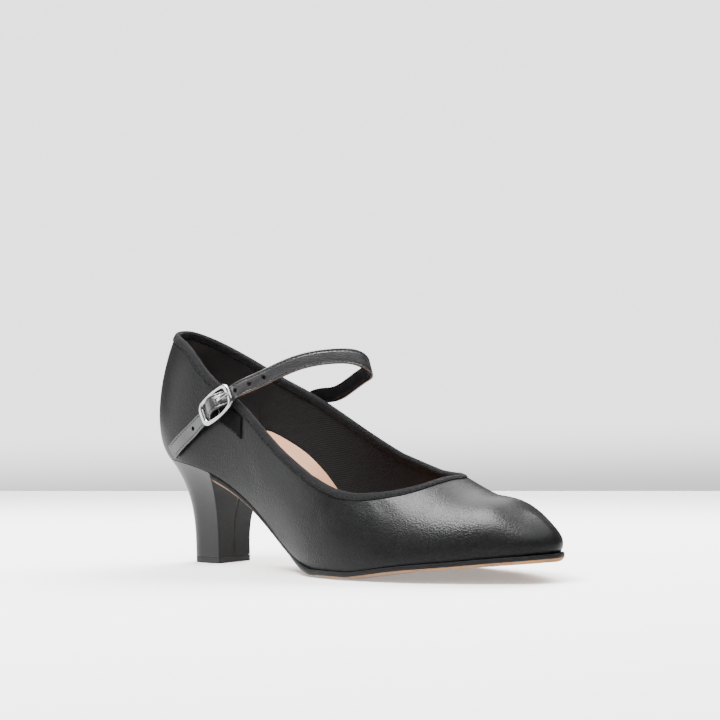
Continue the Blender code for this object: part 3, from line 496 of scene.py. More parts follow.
def shade(thing, angle):
    thing.data.shade_smooth()
    thing.data.set_sharp_from_angle(angle=math.radians(angle))


def place_grid(along, across):
    return np.stack(np.broadcast_arrays(along, across), -1)


def apply_modifiers(thing, angle):
    """Keeps the mesh that the modifiers make."""
    graph = bpy.context.evaluated_depsgraph_get()
    made = bpy.data.meshes.new_from_object(thing.evaluated_get(graph))
    thing.modifiers.clear()
    thing.data = made
    shade(thing, angle)


def cut(thing, cutter, operation="DIFFERENCE"):
    modifier = thing.modifiers.new(cutter.name, "BOOLEAN")
    modifier.operation = operation
    modifier.solver = "EXACT"
    modifier.object = cutter


def finish_cuts(thing, cutters, angle=40):
    apply_modifiers(thing, angle)
    for cutter in cutters:
        bpy.data.objects.remove(cutter)


def settle(thing, slot, *nodes):
    """Hands a finished piece to the frame, in place of its plain solids."""
    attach(thing, BODY)
    if nodes:
        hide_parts(*nodes)
    return thing


def topline_steps(count):
    return 1 - np.linspace(1, 0, count + 1) ** THROAT_CROWDING


def press_creases(points, normals, side):
    """Lowers the surface in the troughs that the table gives."""
    drop = np.zeros(points.shape[:2])
    for row in CREASES:
        crease = dict(zip(CREASE_COLUMNS, row))
        if crease["side"] != side:
            continue
        u = np.array(LAST.rib_at(crease["along"]))
        middle = LAST.point(u, crease["up"], side)
        along, rising = LAST.slopes(u, np.array(crease["up"]), side)
        along, rising = unit(along), unit(rising)
        turn = math.radians(crease["turn"])
        run = unit(rising * math.cos(turn) - along * math.sin(turn))
        offset = points - middle
        lengthwise = (offset * run).sum(-1) / (crease["length"] * BALL_WIDTH / 2)
        sideways = np.linalg.norm(offset - (offset @ run)[..., None] * run, axis=-1)
        near = sideways / (crease["width"] * BALL_WIDTH)
        shape = np.exp(-near**2) - CREASE_RIM * np.exp(-((near - CREASE_RIM_AT) ** 2))
        drop += crease["depth"] * BALL_WIDTH * shape * np.clip(1 - lengthwise**2, 0, 1) ** 2
    return points - normals * drop[..., None]


def make_upper(finishes):
    """The leather wall and its linings: outer skin, edges, and the inner skin with the heel grip's step."""
    skive = BINDING_THICKNESS + GAP - BINDING_PROUD
    bend = UPPER_WALL / 2 + BINDING_PROUD
    leather, cloth, grip = 0, 1, 2
    skin = Skin()
    for side, topline in TOPLINES.items():
        t = topline_steps(TOPLINE_COLUMNS)
        head_u, head_up = topline.below(t, BINDING_WIDTH)
        throat_foot = head_u[-1] * THROAT_FOOT_SHARE
        ahead = np.linspace(0, 1, TOE_COLUMNS + 1)[1:]
        feet = np.concatenate([t * throat_foot, throat_foot + (1 - throat_foot) * ahead])
        head_u = np.concatenate([head_u, head_u[-1] + (1 - head_u[-1]) * ahead])
        head_up = np.concatenate([head_up, np.ones(TOE_COLUMNS)])
        rise = np.linspace(0, 1, PANEL_ROWS + 1)[:, None] ** SOLE_CROWDING
        u, up = feet + (head_u - feet) * rise, head_up * rise
        normals = LAST.normal(u, up, side)
        outer = press_creases(LAST.point(u, up, side), normals, side)
        along = LAST.share["along"](u)
        grip_share = soft_step((GRIP_ENDS - along) * SHOE_LENGTH / GRIP_EDGE + 0.5)
        inner = LAST.point(u, up, side) - normals * (UPPER_WALL + GRIP_SWELL * grip_share)[..., None]
        inner[0, :, 2] = LAST.underside(inner[0, :, 0], inner[0, :, 1])
        bound = slice(0, TOPLINE_COLUMNS + 1)
        top_u, top_up = topline.below(t, bend)
        band_u, band_up = np.stack([u[-1, bound], top_u]), np.stack([up[-1, bound], top_up])
        outer_band = LAST.inside(band_u, band_up, side, np.full_like(band_u, skive))
        inner_band = LAST.inside(band_u, band_up, side, np.full_like(band_u, UPPER_WALL - skive))
        place = place_grid(along * SHOE_LENGTH, run_length(outer))
        inside_slots = np.where((along[1:, 1:] + along[:-1, :-1]) / 2 < GRIP_ENDS, grip, cloth)
        flip = side == "medial"
        skin.grid(outer, place, leather, flip)
        skin.grid(inner, place, inside_slots, not flip)
        skin.grid(np.stack([inner[0], outer[0]]), place[:2], leather, flip)
        skin.grid(np.stack([outer[-1, bound], outer_band[0]]), place[:2, bound], leather, flip)
        skin.grid(outer_band, place[:2, bound], leather, flip)
        skin.grid(np.stack([outer_band[1], inner_band[1]]), place[:2, bound], leather, flip)
        skin.grid(inner_band, place[:2, bound], cloth, not flip)
        skin.grid(np.stack([inner_band[0], inner[-1, bound]]), place[:2, bound], cloth, flip)
    return settle(skin.object("upper_leather", finishes), "upper_leather", "upper")


def binding_section(bow):
    """The folded tape's section as (distance, depth), round its outside and back round its inside."""
    bend = UPPER_WALL / 2 + BINDING_PROUD
    inner_bend = bend - BINDING_THICKNESS
    leg = BINDING_WIDTH - GAP
    middle = UPPER_WALL / 2
    turns = np.radians(np.linspace(0, 180, 13))
    legs = np.linspace(leg, bend, 5)[:-1]
    swell = bow * np.sin(np.pi * (legs - bend) / (leg - bend))
    outside = [(d, middle - bend - s) for d, s in zip(legs, swell)]
    outside += [(bend - bend * math.sin(a), middle - bend * math.cos(a)) for a in turns]
    outside += [(d, middle + bend + s) for d, s in zip(legs[::-1], swell[::-1])]
    inside = [(bend - inner_bend * math.sin(a), middle + inner_bend * math.cos(a)) for a in turns]
    inside = [(leg, middle + inner_bend)] + inside + [(leg, middle - inner_bend)]
    return outside, inside


def topline_ring(t, side, section):
    ring = []
    for distance, depth in section:
        u, up = TOPLINES[side].below(t, distance)
        ring.append(LAST.inside(u, up, side, np.full_like(u, depth)))
    return np.stack(ring, 1)


def make_binding(finishes, tape_swell):
    """A folded tape round the whole topline, slightly full between its fold and its stitching."""
    outside, inside = binding_section(tape_swell)
    section = outside + inside + outside[:1]
    t = topline_steps(260)
    skin = Skin()
    for side in SIDES:
        rings = topline_ring(t, side, section)
        along = run_length(rings[:, 8])
        across = np.concatenate([[0], np.cumsum([math.dist(a, b) for a, b in zip(section, section[1:])])])
        skin.grid(rings, place_grid(along[:, None], across[None, :]), 0, side == "medial")
    return settle(skin.object("topline_tape", finishes, 60), "binding_tape", "topline_binding")


def thread_run(skin, points, outs, pitch, radius, gap=0.22):
    """Adds stitches along a line: each is a short thread that dips into its holes at both ends."""
    distance = run_length(points)
    count = int(distance[-1] / pitch)
    centres = (np.arange(count) + 0.5) * distance[-1] / count
    spans = np.array([-0.5, -0.46, -0.34, 0.0, 0.34, 0.46, 0.5]) * pitch * (1 - gap)
    heights = np.array([-1.2, -0.35, 0.35, 0.6, 0.35, -0.35, -1.2]) * radius
    sizes = np.array([0.05, 0.7, 0.95, 1.0, 0.95, 0.7, 0.05]) * radius
    where = centres[:, None] + spans[None, :]
    line = np.stack([np.interp(where, distance, points[:, axis]) for axis in range(3)], -1)
    out = unit(np.stack([np.interp(where, distance, outs[:, axis]) for axis in range(3)], -1))
    run = unit(np.gradient(line, axis=1))
    side = unit(np.cross(run, out))
    line = line + out * heights[None, :, None]
    turns = np.radians(np.linspace(0, 360, 9))
    ring = side[:, :, None] * np.cos(turns)[:, None] + out[:, :, None] * np.sin(turns)[:, None]
    tubes = line[:, :, None] + ring * sizes[None, :, None, None]
    for tube, start in zip(tubes, where):
        around = np.linspace(0, 2 * math.pi * radius, len(turns))
        skin.grid(tube, place_grid(start[:, None], around[None, :]))


def make_binding_stitches(finishes, pitch, radius, row_height):
    """One row of lockstitch near the tape's lower edge, seen inside and outside."""
    skin = Skin()
    t = topline_steps(900)
    for side in SIDES:
        u, up = TOPLINES[side].below(t, BINDING_WIDTH - row_height)
        normals = LAST.normal(u, up, side)
        for depth, way in ((-BINDING_PROUD, 1), (UPPER_WALL + BINDING_PROUD, -1)):
            line = LAST.point(u, up, side) - normals * depth
            thread_run(skin, line[6:-2], normals[6:-2] * way, pitch, radius)
    return settle(skin.object("topline_stitches", finishes, 70), "binding_tape")


def sheet_across(count):
    """Places across a sole, closer together near its edges."""
    even = np.linspace(-1, 1, count)
    return np.sign(even) * (1 - (1 - np.abs(even)) ** 1.35)


def make_insole(finishes):
    """The sock over its board and its padding, which climbs the medial wall under the arch."""
    clearance = UPPER_WALL + GRIP_SWELL + 2 * GAP
    u, across = np.broadcast_arrays(np.linspace(0, 1, 150)[:, None], sheet_across(57)[None, :])
    low = LAST.sole_place(u, across, np.full_like(u, -clearance))
    high = low + [0, 0, INSOLE_THICKNESS]
    padding = cubic_spline(*np.array(PAD_ROWS).T)
    pad = ARCH_PAD * np.maximum(padding(LAST.share["along"](u[:, 0])), 0)
    up = np.linspace(0, PAD_WALL, 60)
    lean = []
    for rib, edge, height in zip(u[:, 0], high[:, -1, 2], pad):
        wall = LAST.inside(np.full_like(up, rib), up, "medial", np.full_like(up, clearance))
        foot, head = (np.array([np.interp(z, wall[:, 2], wall[:, k]) for k in (0, 1)])
                      for z in (edge, edge + height))
        lean.append(head - foot)
    share = (across + 1) / 2
    high[..., :2] += np.array(lean)[:, None] * share[..., None]
    high[..., 2] += pad[:, None] * share**PAD_SLOPE
    high[..., 2] -= SOCK_ROLL * soft_step((np.abs(across) - SOCK_ROLL_FROM) / (1 - SOCK_ROLL_FROM))
    place = place_grid(high[..., 0], high[..., 1])
    skin = Skin().grid(low, place).grid(high, place, 0, True).join_edges(low, high)
    return settle(skin.object("sock", finishes), "sock", "insole")


def make_outsole(finishes):
    """Tan underside, whose rim shows under the forepart, and a slightly rounded, inked edge."""
    leather, ink = 0, 1
    breast = LAST.rib_at((BREAST_FROM_BACK + GAP) / SHOE_LENGTH)
    u = np.linspace(breast, 1, 220)[:, None]
    u, across = np.broadcast_arrays(u, sheet_across(57)[None, :])
    waist = np.clip(np.maximum(LAST.share["dome"](u), 0) * 2, 0, 1)
    margin = SOLE_MARGIN - (SOLE_MARGIN + WAIST_TUCK) * waist
    high = LAST.sole_place(u, across, margin)
    high[..., 2] -= GAP
    fall = np.interp(np.abs(across), [0.78, 0.93, 1.0], [0, 0.3, 1])
    fall = 0.5 * fall + 0.5 * soft_step((np.abs(across) - 0.76) / 0.24)
    low = high - np.stack([0 * fall, 0 * fall, SOLE_THICKNESS - (SOLE_THICKNESS - SOLE_EDGE) * fall], -1)
    place = place_grid(u * SHOE_LENGTH, high[..., 1])
    fore = LAST.share["along"](u[1:, 1:]) > TAN_EDGE_FROM
    skin = Skin()
    skin.grid(low, place, np.where((np.abs(across[1:, 1:]) < INK_FROM) | fore, leather, ink))
    skin.grid(high, place, ink, True)
    share = np.linspace(0, 1, 7)
    bulge = EDGE_BULGE * (1 - (2 * share - 1) ** 2)
    inked = np.where((share[1:, None] < 0.2) & fore[:, 0], leather, ink)
    for column, side, flip in ((0, "lateral", True), (-1, "medial", False)):
        out = LAST.outward(u[:, column], side)
        rows = low[:, column] + (high[:, column] - low[:, column]) * share[:, None, None]
        rows = rows + out * bulge[:, None, None]
        heights = SOLE_EDGE * share[:, None]
        skin.grid(rows, place_grid(u[:, column][None, :] * SHOE_LENGTH, heights), inked, flip)
    skin.grid(np.stack([low[0], high[0]]), place[:2], leather)
    return settle(skin.object("sole", finishes), "sole_leather", "outsole")


def lift_outline(share):
    """Half of the top lift's outline, a round back and straight sides, by the share along it."""
    radius = LIFT_WIDTH / 2
    turn = math.pi / 2 * radius
    run = share * (turn + LIFT_LENGTH - radius)
    angle = np.minimum(run, turn) / radius
    x = radius * (1 - np.cos(angle)) + np.maximum(run - turn, 0)
    return x - LIFT_LENGTH / 2, radius * np.sin(angle)


def round_edges(thing, radius):
    modifier = thing.modifiers.new("rounded_edges", "BEVEL")
    modifier.width = radius
    modifier.segments = 3
    modifier.limit_method = "ANGLE"
    modifier.angle_limit = math.radians(45)
    modifier.harden_normals = False
    apply_modifiers(thing, 40)


def make_heel(finishes, seam_width, seam_depth):
    """The covered block. Its cover closes in a seam down the breast."""
    breast = LAST.rib_at(BREAST_FROM_BACK / SHOE_LENGTH)
    share = np.linspace(0, 1, 49)
    across = np.unique(np.concatenate([sheet_across(33), np.linspace(-0.12, 0.12, 17)]))
    u, across = np.broadcast_arrays((share * breast)[:, None], across[None, :])
    top = LAST.sole_place(u, across, np.full_like(u, -HEEL_INSET))
    top[..., 2] -= GAP
    x, half = lift_outline(share)
    level = LIFT_THICKNESS + LIFT_GLUE_LINE
    foot = np.stack(np.broadcast_arrays(x[:, None], half[:, None] * across, level), -1)
    skin = Skin()
    skin.grid(top, place_grid(top[..., 0], top[..., 1]), 0, True)
    skin.grid(foot, place_grid(foot[..., 0], foot[..., 1]))
    levels = np.linspace(0, 1, 49)
    flare = np.stack([levels**HEEL_FLARE, levels**HEEL_FLARE, levels], -1)[:, None, :]
    for edge, flip in (((slice(None), 0), True), ((slice(None), -1), False), ((-1, slice(None)), True)):
        rows = foot[edge] + (top[edge] - foot[edge]) * flare
        if edge[0] == -1:
            groove = np.exp(-((rows[..., 1] / seam_width) ** 2)) * soft_step(levels * 30)[:, None]
            groove = groove * soft_step((1 - levels) * 30)[:, None]
            rows[..., 0] -= seam_depth * groove
        around = run_length(rows, 1)
        skin.grid(rows, place_grid(around, rows[..., 2]), 0, flip)
    thing = skin.object("heel_cover", finishes)
    round_edges(thing, 0.3 * MM)
    return settle(thing, "heel_cover", "heel")


def make_top_lift(finishes):
    """The rubber lift under the heel, with its edges taken off."""
    share = np.linspace(0, 1, 41)
    x, half = lift_outline(share)
    across = np.linspace(-1, 1, 9)[None, :]
    low = np.stack(np.broadcast_arrays(x[:, None], half[:, None] * across, 0.0), -1)
    high = low + [0, 0, LIFT_THICKNESS]
    place = place_grid(low[..., 0], low[..., 1])
    skin = Skin().grid(low, place).grid(high, place, 0, True).join_edges(low, high)
    skin.grid(np.stack([low[-1], high[-1]]), place[:2], 0, True)
    thing = skin.object("lift", finishes)
    round_edges(thing, 0.18 * MM)
    return settle(thing, "lift_rubber", "top_lift")


def quarter_place(side, place, over):
    """A point over the upper's surface, at a place given by its rib and its share up it."""
    return LAST.inside(LAST.rib_at(place[0]), place[1], side, -over)


def quarter_normal(side, place):
    return LAST.normal(LAST.rib_at(place[0]), place[1], side)


class BuckleFrame:
    """The buckle's own axes: ahead along the strap to the instep, across its width, and out of the shoe."""

    def __init__(self):
        seat = quarter_place("lateral", BUCKLE_AT, 0.0)
        aim = quarter_place("lateral", BUCKLE_AIMS_AT, 0.0)
        rear = quarter_place("lateral", TAIL_ROWS[-1], 0.0)
        normal = quarter_normal("lateral", BUCKLE_AT)
        self.ahead = unit(aim - rear)
        self.out = unit(normal - self.ahead * (normal @ self.ahead))
        self.across = np.cross(self.out, self.ahead)
        half_strap = STRAP_THICKNESS / 2
        self.under = -(BUCKLE_THICKNESS / 2 + GAP + half_strap)
        self.over = MIDDLE_BAR / 2 + 2 * GAP + max(TAB_THICKNESS, PRONG_THICKNESS) + half_strap
        self.middle = seat + self.out * (half_strap + GAP - self.under + QUARTER_CURVE_ROOM)

    def place(self, ahead, out, across=0.0):
        ahead, out, across = (np.asarray(value, float)[..., None] for value in (ahead, out, across))
        return self.middle + self.ahead * ahead + self.out * out + self.across * across


BUCKLE = BuckleFrame()


def strap_route():
    """The strap's middle line, from its tail to its sewn end, with the direction of its width."""
    lying = STRAP_THICKNESS / 2 + 2 * GAP
    tail = [quarter_place("lateral", row, lying) for row in TAIL_ROWS]
    deep = BUCKLE.over - BUCKLE.under
    weave = [
        BUCKLE.place(share * BUCKLE_LENGTH / 2, BUCKLE.under + deep * (height + 1) / 2)
        for share, height in WEAVE_ROWS
    ]
    crossing = quarter_place("medial", CROSSING_AT, lying + BINDING_PROUD)
    sewn = [quarter_place("medial", row, lying) for row in SEWN_ROWS]
    middle, half = (crossing + BUCKLE.middle) / 2, (crossing - BUCKLE.middle) / 2
    rows = np.array(ARCH_ROWS)
    lift = np.stack([rows[:, 1] * STRAP_REACH, 0 * rows[:, 0], rows[:, 2] * STRAP_RISE], 1)
    arch = middle + half * rows[:, :1] + lift
    points = np.concatenate([tail, weave, arch, [crossing], sewn])

    runs = unit(np.gradient(points, axis=0))
    widths = [np.cross(quarter_normal("lateral", row), run) for row, run in zip(TAIL_ROWS, runs)]
    widths += [BUCKLE.across] * len(WEAVE_ROWS)
    over_instep = unit(np.cross([STRAP_REACH, 0, STRAP_RISE], half))
    lying_widths = [
        np.cross(quarter_normal("medial", place), run)
        for place, run in zip((CROSSING_AT,) + SEWN_ROWS, runs[-1 - len(SEWN_ROWS):])
    ]
    turned = np.clip(rows[:, :1], 0, 1) ** 3
    widths += list(unit(over_instep * (1 - turned) + lying_widths[0] * turned))
    widths += lying_widths
    along = steps_along(points)
    route, width = (cubic_spline(along, values, False, False) for values in (points, np.array(widths)))

    def at(share):
        share = np.asarray(share, float)
        run = unit(route(np.clip(share + 1e-3, 0, 1)) - route(np.clip(share - 1e-3, 0, 1)))
        flat = width(share)
        flat = unit(flat - run * (flat * run).sum(-1, keepdims=True))
        return route(share), flat, np.cross(run, flat)

    length = np.linalg.norm(np.diff(route(np.linspace(0, 1, 400)), axis=0), axis=1).sum()
    return at, along[len(TAIL_ROWS) + len(WEAVE_ROWS) // 2], length


STRAP_AT, STRAP_BUCKLED, STRAP_LENGTH = strap_route()


def round_rectangle(half_length, half_width, radius, arc_steps):
    """The closed outline of a rectangle with round corners."""
    spots = []
    for turn, (x, y) in enumerate(CORNERS):
        middle = np.array([x * (half_length - radius), y * (half_width - radius)])
        for step in range(arc_steps + 1):
            angle = math.pi / 2 * (turn + step / arc_steps)
            spots.append(middle + radius * np.array([math.cos(angle), math.sin(angle)]))
    return np.array(spots + spots[:1])


def rounded_section(width, thickness, radius, arc_steps=4, flat_steps=1):
    """A closed section with round corners, as offsets across and through it."""
    spots = round_rectangle(width / 2, thickness / 2, radius, arc_steps)
    made = []
    for a, b in zip(spots[:-1], spots[1:]):
        steps = 1
        if flat_steps > 1:
            steps = max(1, int(np.linalg.norm(b - a) / (width / flat_steps) + 0.5))
        made += [a + (b - a) * k / steps for k in range(steps)]
    return np.array(made + [made[0]])


def strap_section(groove_from_edge, groove_depth):
    """The strap's section: slightly crowned faces with a groove where each row of stitching pulls in."""
    section = rounded_section(STRAP_WIDTH, STRAP_THICKNESS, 0.42 * MM, 4, 22)
    x, y = section[:, 0], section[:, 1]
    on_face = soft_step((np.abs(y) / (STRAP_THICKNESS / 2) - 0.7) / 0.3)
    row = STRAP_WIDTH / 2 - groove_from_edge
    groove = np.exp(-(((np.abs(x) - row) / GROOVE_HALF_WIDTH) ** 2)) * groove_depth
    crown = STRAP_CROWN * (np.clip(np.abs(x) / row, 0, 1) ** 2)
    return np.stack([x, y - np.sign(y) * on_face * (groove + crown)], 1)


def sweep(points, flats, throughs, section, slots=0):
    """A closed skin along a line, with rounded-off ends."""
    rings = points[:, None] + flats[:, None] * section[:, 0, None] + throughs[:, None] * section[:, 1, None]
    along = run_length(points)
    across = run_length(section)
    skin = Skin()
    skin.grid(rings, place_grid(along[:, None], across[None, :]), slots)
    for end, flip in ((0, False), (-1, True)):
        middle = points[end]
        shrink = np.linspace(1, 0, 4)[:, None, None]
        cap = middle + (rings[end] - middle) * shrink
        skin.grid(cap, np.broadcast_to(place_grid(along[end], across), (4, len(across), 2)), 0, flip)
    return skin


def prong_line():
    """The prong bends round the middle bar, rises through the strap's hole and rests on the front bar."""
    eye = MIDDLE_BAR / 2 + GAP + PRONG_THICKNESS / 2
    turns = np.radians(np.arange(300, 89, -30))
    ring = np.stack([eye * np.cos(turns), eye * np.sin(turns)], 1)
    rest = BUCKLE_THICKNESS / 2 + GAP + PRONG_THICKNESS / 2
    front = BUCKLE_LENGTH / 2 - BUCKLE_BAR / 2
    rise = np.array(PRONG_RISE) * [front, rest]
    tip = np.array([[front + BUCKLE_BAR * PRONG_PAST_BAR, rest * PRONG_TIP_HEIGHT]])
    return np.concatenate([ring, rise, tip])


def plane_strip(line, section, steps, taper=0.0):
    """A strip swept along a line in the plane of the strap's length and thickness."""
    place = cubic_spline(steps_along(line), line, False, False)(np.linspace(0, 1, steps))
    run = np.gradient(place, axis=0)
    points = BUCKLE.place(place[:, 0], place[:, 1])
    through = unit(BUCKLE.out * run[:, :1] - BUCKLE.ahead * run[:, 1:])
    flats = np.broadcast_to(BUCKLE.across, points.shape)
    if taper:
        narrow = 1 - taper * soft_step((np.linspace(0, 1, steps) - 0.8) / 0.2)
        flats, through = flats * narrow[:, None], through * narrow[:, None]
    return sweep(points, flats, through, section)


def make_prong(finishes):
    """The chrome prong, narrower at its tip."""
    section = rounded_section(PRONG_WIDTH, PRONG_THICKNESS, 0.34 * MM, 5)
    thing = plane_strip(prong_line(), section, 90, 0.35).object("buckle_pin", finishes, 60)
    return settle(thing, "buckle_plate", "buckle_prong")


def make_strap(finishes, stitch_inset, groove_depth):
    """The strap with its punched holes. Its inner face, its edges and the holes' walls are plain leather."""
    shares = np.linspace(0, 1, 561)
    points, flats, throughs = STRAP_AT(shares)
    section = strap_section(stitch_inset, groove_depth)
    backed = (section[1:, 1] + section[:-1, 1]) / 2 < 0.15 * STRAP_THICKNESS
    backed = np.broadcast_to(backed.astype(int), (len(points) - 1, len(backed)))
    thing = sweep(points, flats, throughs, section, backed).object("strap_leather", finishes, 60)
    slot_section = rounded_section(PRONG_WIDTH + 2 * GAP, PRONG_THICKNESS + 2 * GAP, 0.5 * MM, 4)
    slot = plane_strip(prong_line(), slot_section, 60).object("prong_hole", finishes)
    holes = Skin()
    turns = np.radians(np.linspace(0, 360, 33))
    for number in HOLES:
        middle, flat, through = STRAP_AT(STRAP_BUCKLED + number * HOLE_SPACING / STRAP_LENGTH)
        run = np.cross(flat, through)
        rim = middle + (np.outer(np.cos(turns), flat) + np.outer(np.sin(turns), run)) * HOLE_SIZE / 2
        tall = through * STRAP_THICKNESS
        ends = np.stack([np.broadcast_to(middle - tall, rim.shape), rim - tall, rim + tall,
                         np.broadcast_to(middle + tall, rim.shape)])
        holes.grid(ends, None, 1)
    punch = holes.object("strap_holes", finishes)
    cut(thing, slot)
    cut(thing, punch)
    finish_cuts(thing, [slot, punch], 50)
    return settle(thing, "strap_leather", "strap")


def make_strap_stitches(finishes, pitch, radius, stitch_inset, groove_depth):
    """A row of stitching along both edges and across both ends, on both faces."""
    skin = Skin()
    row = STRAP_WIDTH / 2 - stitch_inset
    ends = (2.2 * MM / STRAP_LENGTH, 1 - 1.6 * MM / STRAP_LENGTH)
    points, flats, throughs = STRAP_AT(np.linspace(*ends, 1100))
    height = STRAP_THICKNESS / 2 - groove_depth * 0.9 - STRAP_CROWN
    for across in (-row, row):
        for way in (-1, 1):
            thread_run(skin, points + flats * across + throughs * height * way, throughs * way, pitch, radius)
    for share in ends:
        point, flat, through = STRAP_AT(share)
        spots = np.linspace(-row, row, 60)[:, None]
        for way in (-1, 1):
            line = point + flat * spots + through * (height + 0.05 * MM) * way
            thread_run(skin, line, np.broadcast_to(through * way, line.shape), pitch, radius)
    return settle(skin.object("strap_stitches", finishes, 70), "strap_leather")


def make_buckle(finishes):
    """A cast frame with round corners and bowed sides, and its middle bar."""
    half_length = BUCKLE_LENGTH / 2 - BUCKLE_BAR / 2
    half_width = STRAP_WIDTH / 2 + BUCKLE_SIDE_PLAY + BUCKLE_WIRE / 2
    spots = round_rectangle(half_length, half_width, BUCKLE_CORNER, 8)
    fine = np.interp(np.linspace(0, 1, 161), steps_along(spots), np.arange(len(spots)))
    outline = np.stack([np.interp(fine, np.arange(len(spots)), spots[:, k]) for k in range(2)], 1)
    bow = BUCKLE_BOW * (1 - (outline[:, 0] / half_length) ** 2)
    outline[:, 1] += np.sign(outline[:, 1]) * bow * soft_step(np.abs(outline[:, 1]) / half_width)
    closed = np.concatenate([outline[-2:-1], outline, outline[1:2]])
    run = unit(closed[2:] - closed[:-2])
    facing = np.stack([run[:, 1], -run[:, 0]], 1)
    turns = np.radians(np.linspace(0, 360, 25))
    wire = BUCKLE_WIRE + (BUCKLE_BAR - BUCKLE_WIRE) * facing[:, 0] ** 2
    squash = 2.6
    across = np.sign(np.cos(turns)) * np.abs(np.cos(turns)) ** (2 / squash)
    through = np.sign(np.sin(turns)) * np.abs(np.sin(turns)) ** (2 / squash)
    offsets = wire[:, None, None] / 2 * across[None, :, None] * facing[:, None, :]
    rings = BUCKLE.place(
        outline[:, None, 0] + offsets[..., 0], through[None, :] * BUCKLE_THICKNESS / 2,
        outline[:, None, 1] + offsets[..., 1])
    frame_piece = Skin().grid(rings).object("buckle_frame_chrome", finishes, 60)
    reach = half_width + BUCKLE_BOW
    ends = np.array([-reach, -reach, reach, reach])[:, None]
    size = np.array([0.0, 1.0, 1.0, 0.0])[:, None] * MIDDLE_BAR / 2
    bar = Skin().grid(BUCKLE.place(np.cos(turns) * size, np.sin(turns) * size, ends + 0 * turns))
    bar = bar.object("middle_bar", finishes)
    cut(frame_piece, bar, "UNION")
    finish_cuts(frame_piece, [bar], 50)
    return settle(frame_piece, "buckle_plate", "buckle_frame")


def make_tab(finishes):
    """The elastic: a patch sewn to the quarter, whose narrow end folds over the middle bar. The patch is
    spread over the shade under the buckle and made very dark, so it is partly elastic and partly painted
    shade.
    """
    u = LAST.rib_at(np.linspace(*TAB_PATCH_ALONG, 40))[:, None]
    u, up = np.broadcast_arrays(u, np.linspace(*TAB_PATCH_UP, 34)[None, :])
    rim = np.minimum(np.minimum(np.arange(40), np.arange(40)[::-1])[:, None],
                     np.minimum(np.arange(34), np.arange(34)[::-1])[None, :])
    thick = TAB_THICKNESS * (0.55 + 0.45 * soft_step(rim / 3))
    low = LAST.inside(u, up, "lateral", np.full_like(u, -GAP))
    high = LAST.inside(u, up, "lateral", -GAP - thick)
    place = place_grid(run_length(low), run_length(low, 1))
    skin = Skin().grid(low, place).grid(high, place, 0, True).join_edges(low, high)
    for row, flip in ((0, False), (-1, True)):
        skin.grid(np.stack([low[row], high[row]]), None, 0, flip)
    thing = skin.object("elastic_tab_and_painted_shade", finishes)
    fold = MIDDLE_BAR / 2 + GAP + TAB_THICKNESS / 2
    turns = np.radians(np.arange(180, -31, -30))
    ring = np.stack([fold * np.cos(turns), fold * np.sin(turns)], 1)
    seat = -(STRAP_THICKNESS / 2 + GAP - BUCKLE.under + QUARTER_CURVE_ROOM) + GAP + TAB_THICKNESS
    leg = np.array(TAB_LEG) * [fold, seat]
    section = rounded_section(TAB_LOOP_WIDTH, TAB_THICKNESS, 0.2 * MM, 3)
    loop = plane_strip(np.concatenate([leg, ring]), section, 60).object("elastic_loop", finishes)
    reach = MIDDLE_BAR / 2 + 2 * GAP + max(TAB_THICKNESS, PRONG_THICKNESS)
    half = PRONG_WIDTH / 2 + GAP
    top = reach * SLOT_EASE
    corners = np.array([(-half, -reach), (half, -reach), (half, top), (-half, top), (-half, -reach)])
    block = []
    for ahead, size in ((-reach, 0.0), (-reach, 1.0), (reach, 1.0), (reach, 0.0)):
        spots = corners.mean(0) * (1 - size) + corners * size
        block.append(BUCKLE.place(np.full(5, ahead), spots[:, 1], spots[:, 0]))
    slot = Skin().grid(np.array(block)).object("tab_slot", finishes)
    cut(thing, loop, "UNION")
    cut(thing, slot)
    finish_cuts(thing, [loop, slot], 40)
    return settle(thing, "elastic", "buckle_tab")


def make_tab_stitches(finishes, radius):
    """The row of stitches that sews the elastic down along its lower edge."""
    skin = Skin()
    inset = 0.008
    u = LAST.rib_at(np.linspace(TAB_PATCH_ALONG[0] + inset, TAB_PATCH_ALONG[1] - inset, 60))
    up = np.full(60, TAB_PATCH_UP[0] + inset)
    line = LAST.inside(u, up, "lateral", np.full(60, -GAP - TAB_THICKNESS))
    thread_run(skin, line, LAST.normal(u, up, "lateral"), 2.0 * MM, radius)
    return settle(skin.object("tab_stitches", finishes, 70), "elastic")


def linear(code):
    """An sRGB hex value as linear colour."""
    parts = [int(code[i:i + 2], 16) / 255 for i in (1, 3, 5)]
    return [c / 12.92 if c <= 0.04045 else ((c + 0.055) / 1.055) ** 2.4 for c in parts] + [1.0]


def connect(tree, node, inputs):
    """Sets or links inputs of a node, which are given by name or number, or else in order."""
    for name, value in inputs.items() if isinstance(inputs, dict) else enumerate(inputs):
        if isinstance(value, bpy.types.NodeSocket):
            tree.links.new(value, node.inputs[name])
        else:
            node.inputs[name].default_value = value


def add_node(tree, kind, inputs=(), output=0, **settings):
    """Adds a shader node with its settings, values and links, and gives one of its outputs."""
    made = tree.nodes.new("ShaderNode" + kind)
    for name, value in settings.items():
        setattr(made, name, value)
    connect(tree, made, inputs)
    return made.outputs[output] if made.outputs else made


def blank_material(name, roughness, gloss=0.5):
    made = bpy.data.materials.new(name)
    made.use_nodes = True
    tree = made.node_tree
    shader = tree.nodes["Principled BSDF"]
    connect(tree, shader, {"Roughness": roughness, "Specular IOR Level": gloss})
    return made, tree, shader


def pattern_waves(tree, along_size, across_size):
    """The place in metres along and across, which every piece's mesh carries, and a wave along each."""
    place = add_node(tree, "UVMap", uv_map="Place")
    places = [add_node(tree, "SeparateXYZ", (place,), way) for way in (0, 1)]
    waves = []
    for value, size in zip(places, (along_size, across_size)):
        turns = add_node(tree, "Math", (value, 2 * math.pi / size), operation="MULTIPLY")
        waves.append(add_node(tree, "Math", (turns,), operation="SINE"))
    return places, waves


